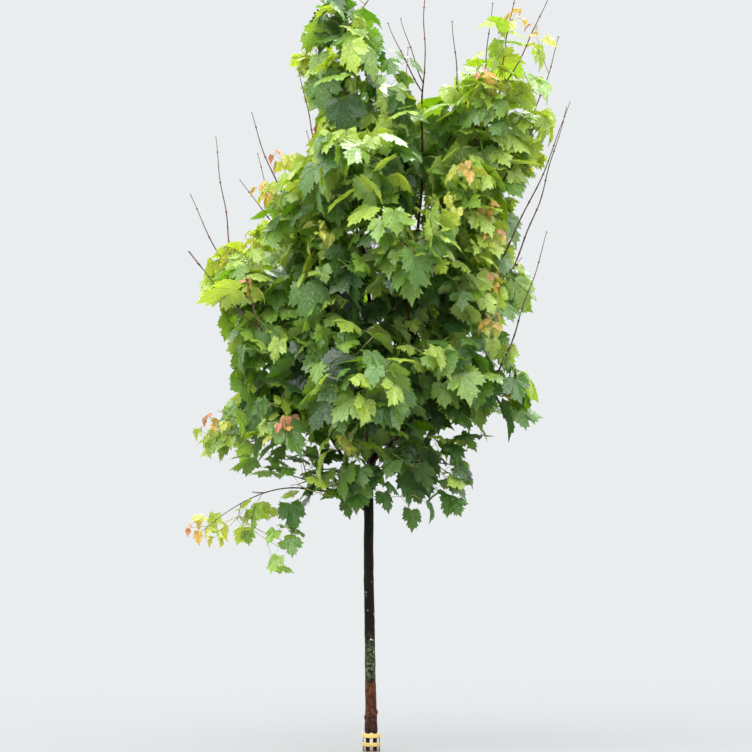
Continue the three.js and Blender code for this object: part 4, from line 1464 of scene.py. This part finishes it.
RING_EVERY = 22  # along a twig
NODE_FLANK = 3
NODE_LENGTH = 3.5
NODE_SWELL = 0.3
TWIG_SIDES = 6
STEM_NODE = 120
STEM_SIDES = 10
WHIP_NODE = 74
WHIP_SIDES = 7
LOWEST_BUD = 60
BUD = 7.5
BUD_SHARES = (0, 0.3, 0.7, 1)
BUD_RADII = (0.2, 0.3, 0.2, 0.03)
BUD_SIDES = 5
BUD_FOOT = 0.7  # of the whip's radius
BUD_OUT = 0.5
STEM_OVER_WHIP = 0.97


def shoot_mesh(line, radii, every, sides=TWIG_SIDES):
    """A twig that thickens a little at each node."""
    steps = max(3, round(line.length / RING_EVERY))
    nodes = np.arange(line.length, 0, -every)[::-1]
    rings = (np.linspace(0, line.length, steps + 1), nodes - NODE_FLANK, nodes, nodes + NODE_FLANK)
    way = np.unique(np.concatenate(rings))
    way = way[(way >= 0) & (way <= line.length)]
    swell = np.zeros_like(way)
    for node in nodes:
        swell = np.maximum(swell, np.exp(-(((way - node) / NODE_LENGTH) ** 2)))
    shares = way / line.length
    return tube(line, shares, between(radii, shares) * (1 + NODE_SWELL * swell), sides)


def bud_mesh(place, direction):
    line = Line(np.array([place, place + direction * BUD]))
    return tube(line, BUD_SHARES, [BUD * share for share in BUD_RADII], BUD_SIDES)


def stem_radii(mass):
    """Radii at a stem's foot and tip. One that carries whips stays stouter."""
    foot, tip = (mass.radius * share for share in STEM_RADII)
    return foot, max(tip, WHIP_STEM_SHARE * foot) if mass.whips else tip


def whip_radii(mass, number):
    """Radii at a whip's foot and tip. It is never stouter than the stem that carries it."""
    stout = WHIP_RADII[0] + WHIP_STOUT * mass.whips[number].length * MM
    return min(stout, STEM_OVER_WHIP * between(stem_radii(mass), mass.whip_feet[number])), WHIP_RADII[1]


def whip_meshes(whip, radii):
    """A whip and its pairs of buds, which stand crosswise by turns."""
    yield shoot_mesh(whip, radii, WHIP_NODE, WHIP_SIDES)
    for way in np.arange(whip.length - 2, LOWEST_BUD, -WHIP_NODE):
        share = way / whip.length
        along, level, rise = whip.across(share)
        out = rise if round(way / WHIP_NODE) % 2 else level
        for side in (-1, 1):
            start = whip.at(share) + out * side * between(radii, share) * BUD_FOOT
            yield bud_mesh(start, unit(along + out * side * BUD_OUT))


def add_limbs():
    Sheaf([trunk_mesh(limbs["trunk"])]).piece("trunk_bark", [bark], ["trunk"])
    boughs = Sheaf(bough_mesh(limbs[name], order) for order, name in enumerate(BOUGHS))
    boughs.piece("bough_bark", [young_bark], list(BOUGHS))


def add_twigs():
    """The masses' stems, whips and twigs, with the shoots on the limbs."""
    twigs = Sheaf(shoot_mesh(twig.line, twig.radii, twig.every) for twig in limb_twigs)
    whips = Sheaf()
    for mass in masses:
        twigs.add(*shoot_mesh(mass.stem, stem_radii(mass), STEM_NODE, STEM_SIDES), finish=1)
        for twig in mass.twigs:
            twigs.add(*shoot_mesh(twig.line, twig.radii, twig.every))
        for number, whip in enumerate(mass.whips):
            for mesh in whip_meshes(whip, whip_radii(mass, number)):
                whips.add(*mesh)
    twigs.piece("twigs", [twig_bark, young_bark], list(MASSES))
    whips.piece("whips", [whip_bark])
    shoots = Sheaf(shoot_mesh(line, YOUNG_SHOOT_RADII, SHOOT_NODE) for line in young_shoots)
    shoots.piece("young_shoots", [stalk_skin], slot="foliage")


def add_leaves():
    """The leaves of each tint in pieces of their own, and all their stalks in one."""
    for tint, leaves in crown.leaves.items():
        upper, through, under, veins = LEAF_COLOURS[tint]
        finishes = [
            leaf_finish("leaf_" + tint, upper, through, veins, 0.42, 0.22, 0.6),
            leaf_finish("leaf_under_" + tint, under, through, veins, 0.55, 0.5, 0.05),
        ]
        for part, first in enumerate(range(0, len(leaves), MOST_LEAVES), 1):
            blades = Sheaf(leaf_mesh(leaf) for leaf in leaves[first : first + MOST_LEAVES])
            blades.piece(f"leaves_{tint}_{part}", finishes, slot="foliage")
    stalks = Sheaf(stalk_mesh(leaf) for leaves in crown.leaves.values() for leaf in leaves)
    stalks.piece("leaf_stalks", [stalk_skin], slot="foliage")


bark = bark_finish("wet_trunk_bark", young=False)
young_bark = bark_finish("wet_bough_bark", young=True)
twig_bark = shoot_finish("twig_bark", (0.03, 0.014, 0.008), (0.1, 0.045, 0.02))
whip_bark = shoot_finish("whip_bark", (0.046, 0.016, 0.012), (0.14, 0.044, 0.03))
stalk_skin = shoot_finish("leaf_stalk", (0.4, 0.3, 0.11), (0.46, 0.54, 0.2), 0.38)
add_limbs()
add_twigs()
add_leaves()


# The guard round the foot of the trunk

SLATS = 7
FIRST_SLAT = 0.25  # of the way from one slat to the next
SLAT_WIDTH = 15
SLAT_RADII = (39.4, 41.7)
SLAT_HEIGHTS = (1, 30, 60, 92, 95, 97, 98)
SLAT_SHARES = (1, 1, 1, 1, 0.96, 0.84, 0.6)  # of its width, towards the rounded top
FOOT_RING = 9
BAND_RADII = (42.1, 44.5)
BAND_WAVE = 0.3  # how far a band bulges over each slat
RING_SIDES = 112
GUARD_BANDS = {"guard_band_lower": (33, 51), "guard_band_upper": (74, 94)}
EDGE_RADIUS = 0.9
EDGE_STEPS = 4


def rounded(width, height):
    """The corners of a rounded rectangle round its middle, counter-clockwise."""
    points = []
    for turn, (x, y) in enumerate(((1, 1), (-1, 1), (-1, -1), (1, -1))):
        for step in range(EDGE_STEPS):
            angle = math.pi / 2 * (turn + step / (EDGE_STEPS - 1))
            across = x * (width / 2 - EDGE_RADIUS) + EDGE_RADIUS * math.cos(angle)
            up = y * (height / 2 - EDGE_RADIUS) + EDGE_RADIUS * math.sin(angle)
            points.append((across, up))
    return np.array(points)


def ring_mesh(radii, low, high, wave=0.0):
    """A ring with a rounded section, which may bulge a little over each slat."""
    section = rounded(radii[1] - radii[0], high - low)
    turns = full_turn(RING_SIDES)
    middle = sum(radii) / 2 + wave * np.cos(SLATS * turns - 0.5 * math.pi)
    out = middle[:, None] + section[None, :, 0]
    up = np.broadcast_to((low + high) / 2 + section[None, :, 1], out.shape)
    rings = np.stack((out * np.cos(turns)[:, None], out * np.sin(turns)[:, None], up), axis=2)
    faces = [(a, d, c, b) for a, b, c, d in between_rings(RING_SIDES, len(section), closed=True)]
    return rings.reshape(-1, 3), faces


def slat_mesh(turn):
    """An upright slat, curved with the ring and rounded at its edges and its top."""
    section = rounded(SLAT_WIDTH, SLAT_RADII[1] - SLAT_RADII[0])
    middle = sum(SLAT_RADII) / 2
    out = middle + section[:, 1]
    points = []
    for height, share in zip(SLAT_HEIGHTS, SLAT_SHARES):
        angle = turn + section[:, 0] * share / middle
        level = np.full(len(out), float(height))
        points.append(np.stack((out * np.cos(angle), out * np.sin(angle), level), axis=1))
    count = len(section)
    last = (len(points) - 1) * count
    faces = [tuple(range(count)), tuple(range(last + count - 1, last - 1, -1))]
    faces += [(b, a, d, c) for a, b, c, d in between_rings(len(points), count)]
    return np.concatenate(points), faces


def add_guard():
    slat_plastic = plastic_finish("guard_slat_plastic", (0.52, 0.51, 0.46), (0.16, 0.12, 0.07), 0.35)
    band_plastic = plastic_finish("guard_band_plastic", (0.62, 0.455, 0.135), (0.34, 0.24, 0.08), 0.3)
    uprights = Sheaf(slat_mesh(2 * math.pi * (slat + FIRST_SLAT) / SLATS) for slat in range(SLATS))
    uprights.add(*ring_mesh(SLAT_RADII, 0, FOOT_RING))
    uprights.piece("guard_uprights", [slat_plastic], ["guard_slats"], slot="guard_slat")
    for name, (low, high) in GUARD_BANDS.items():
        band = Sheaf([ring_mesh(BAND_RADII, low, high, BAND_WAVE)])
        band.piece(name + "_rounded", [band_plastic], [name], slot="guard_band")


add_guard()


# Stage, light and camera, in metres

SKY = (0.96, 0.985, 1.0)
HORIZON = 0.86
ZENITH = 2.9
SKY_SLOPE = (0.16, 0.66)  # how steep a look begins to brighten, and where it is brightest
SUNS = {  # strength, width, tilt and turn, in degrees
    "high_light": (3.9, 24, 32, 160),
    "soft_front": (2.3, 60, 42, -30),
}
FLOOR_RADIUS = 260.0
FLOOR_SIDES = 96
FLOOR_FADE = (12, 110)
FLOOR_COLOUR = (0.206, 0.209, 0.21)
EYE = (0.022, -18.6, 1.5)
LOOK_UP = 0.91
LENS = 186.7
SENSOR = 36


def make_floor():
    """A pale floor that turns into the colour of the horizon far away."""
    turns = full_turn(FLOOR_SIDES)
    rim = np.stack((np.cos(turns), np.sin(turns), np.zeros(FLOOR_SIDES)), axis=1) * FLOOR_RADIUS
    mesh = bpy.data.meshes.new("floor")
    mesh.from_pydata(rim.tolist(), [], [list(range(FLOOR_SIDES))])
    floor = bpy.data.objects.new("floor", mesh)
    bpy.context.scene.collection.objects.link(floor)
    finish = new_finish("pale_floor")
    across, along, _ = finish.split(finish.place())
    far = finish.band((across * across + along * along) ** 0.5, *FLOOR_FADE)
    surface = finish.shader(
        Base_Color=finish.mix(far, FLOOR_COLOUR, (0, 0, 0)),
        Roughness=0.9,
        Specular_IOR_Level=0.0,
        Emission_Color=finish.mix(far, (0, 0, 0), [HORIZON * part for part in SKY]),
        Emission_Strength=1.0,
    )
    mesh.materials.append(finish.done(surface))
    floor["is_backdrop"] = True


def make_sky():
    """Even soft light, stronger from above, as on a bright overcast day."""
    sky = Finish(bpy.data.worlds.new("soft_sky"))
    _, _, height = sky.split(sky.node("ShaderNodeTexCoord")["Generated"])
    strength = sky.band(height, *SKY_SLOPE, (HORIZON, ZENITH), "LINEAR")
    light = sky.node("ShaderNodeBackground", None, {"Color": (*SKY, 1), "Strength": strength})["Background"]
    sky.node("ShaderNodeOutputWorld", None, {"Surface": light})
    bpy.context.scene.world = sky.owner


def make_sun(name, strength, angle, tilt, turn):
    light = bpy.data.lights.new(name, "SUN")
    light.energy = strength
    light.angle = math.radians(angle)
    sun = bpy.data.objects.new(name, light)
    sun.rotation_euler = (math.radians(tilt), 0, math.radians(turn))
    bpy.context.scene.collection.objects.link(sun)


def make_camera():
    data = bpy.data.cameras.new("camera")
    data.lens = LENS
    data.sensor_width = SENSOR
    data.clip_end = 900
    camera = bpy.data.objects.new("camera", data)
    camera.location = EYE
    camera.rotation_euler = (math.radians(90 + LOOK_UP), 0, 0)
    bpy.context.scene.collection.objects.link(camera)
    bpy.context.scene.camera = camera


make_floor()
make_sky()
for name, settings in SUNS.items():
    make_sun(name, *settings)
make_camera()

scene = bpy.context.scene
scene.cycles.use_denoising = True
scene.cycles.diffuse_bounces = 8
scene.view_settings.view_transform = "Standard"

boxes = {"cad": cad_box, "visual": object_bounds()}
{key: [list(corner) for corner in box] for key, box in boxes.items()}
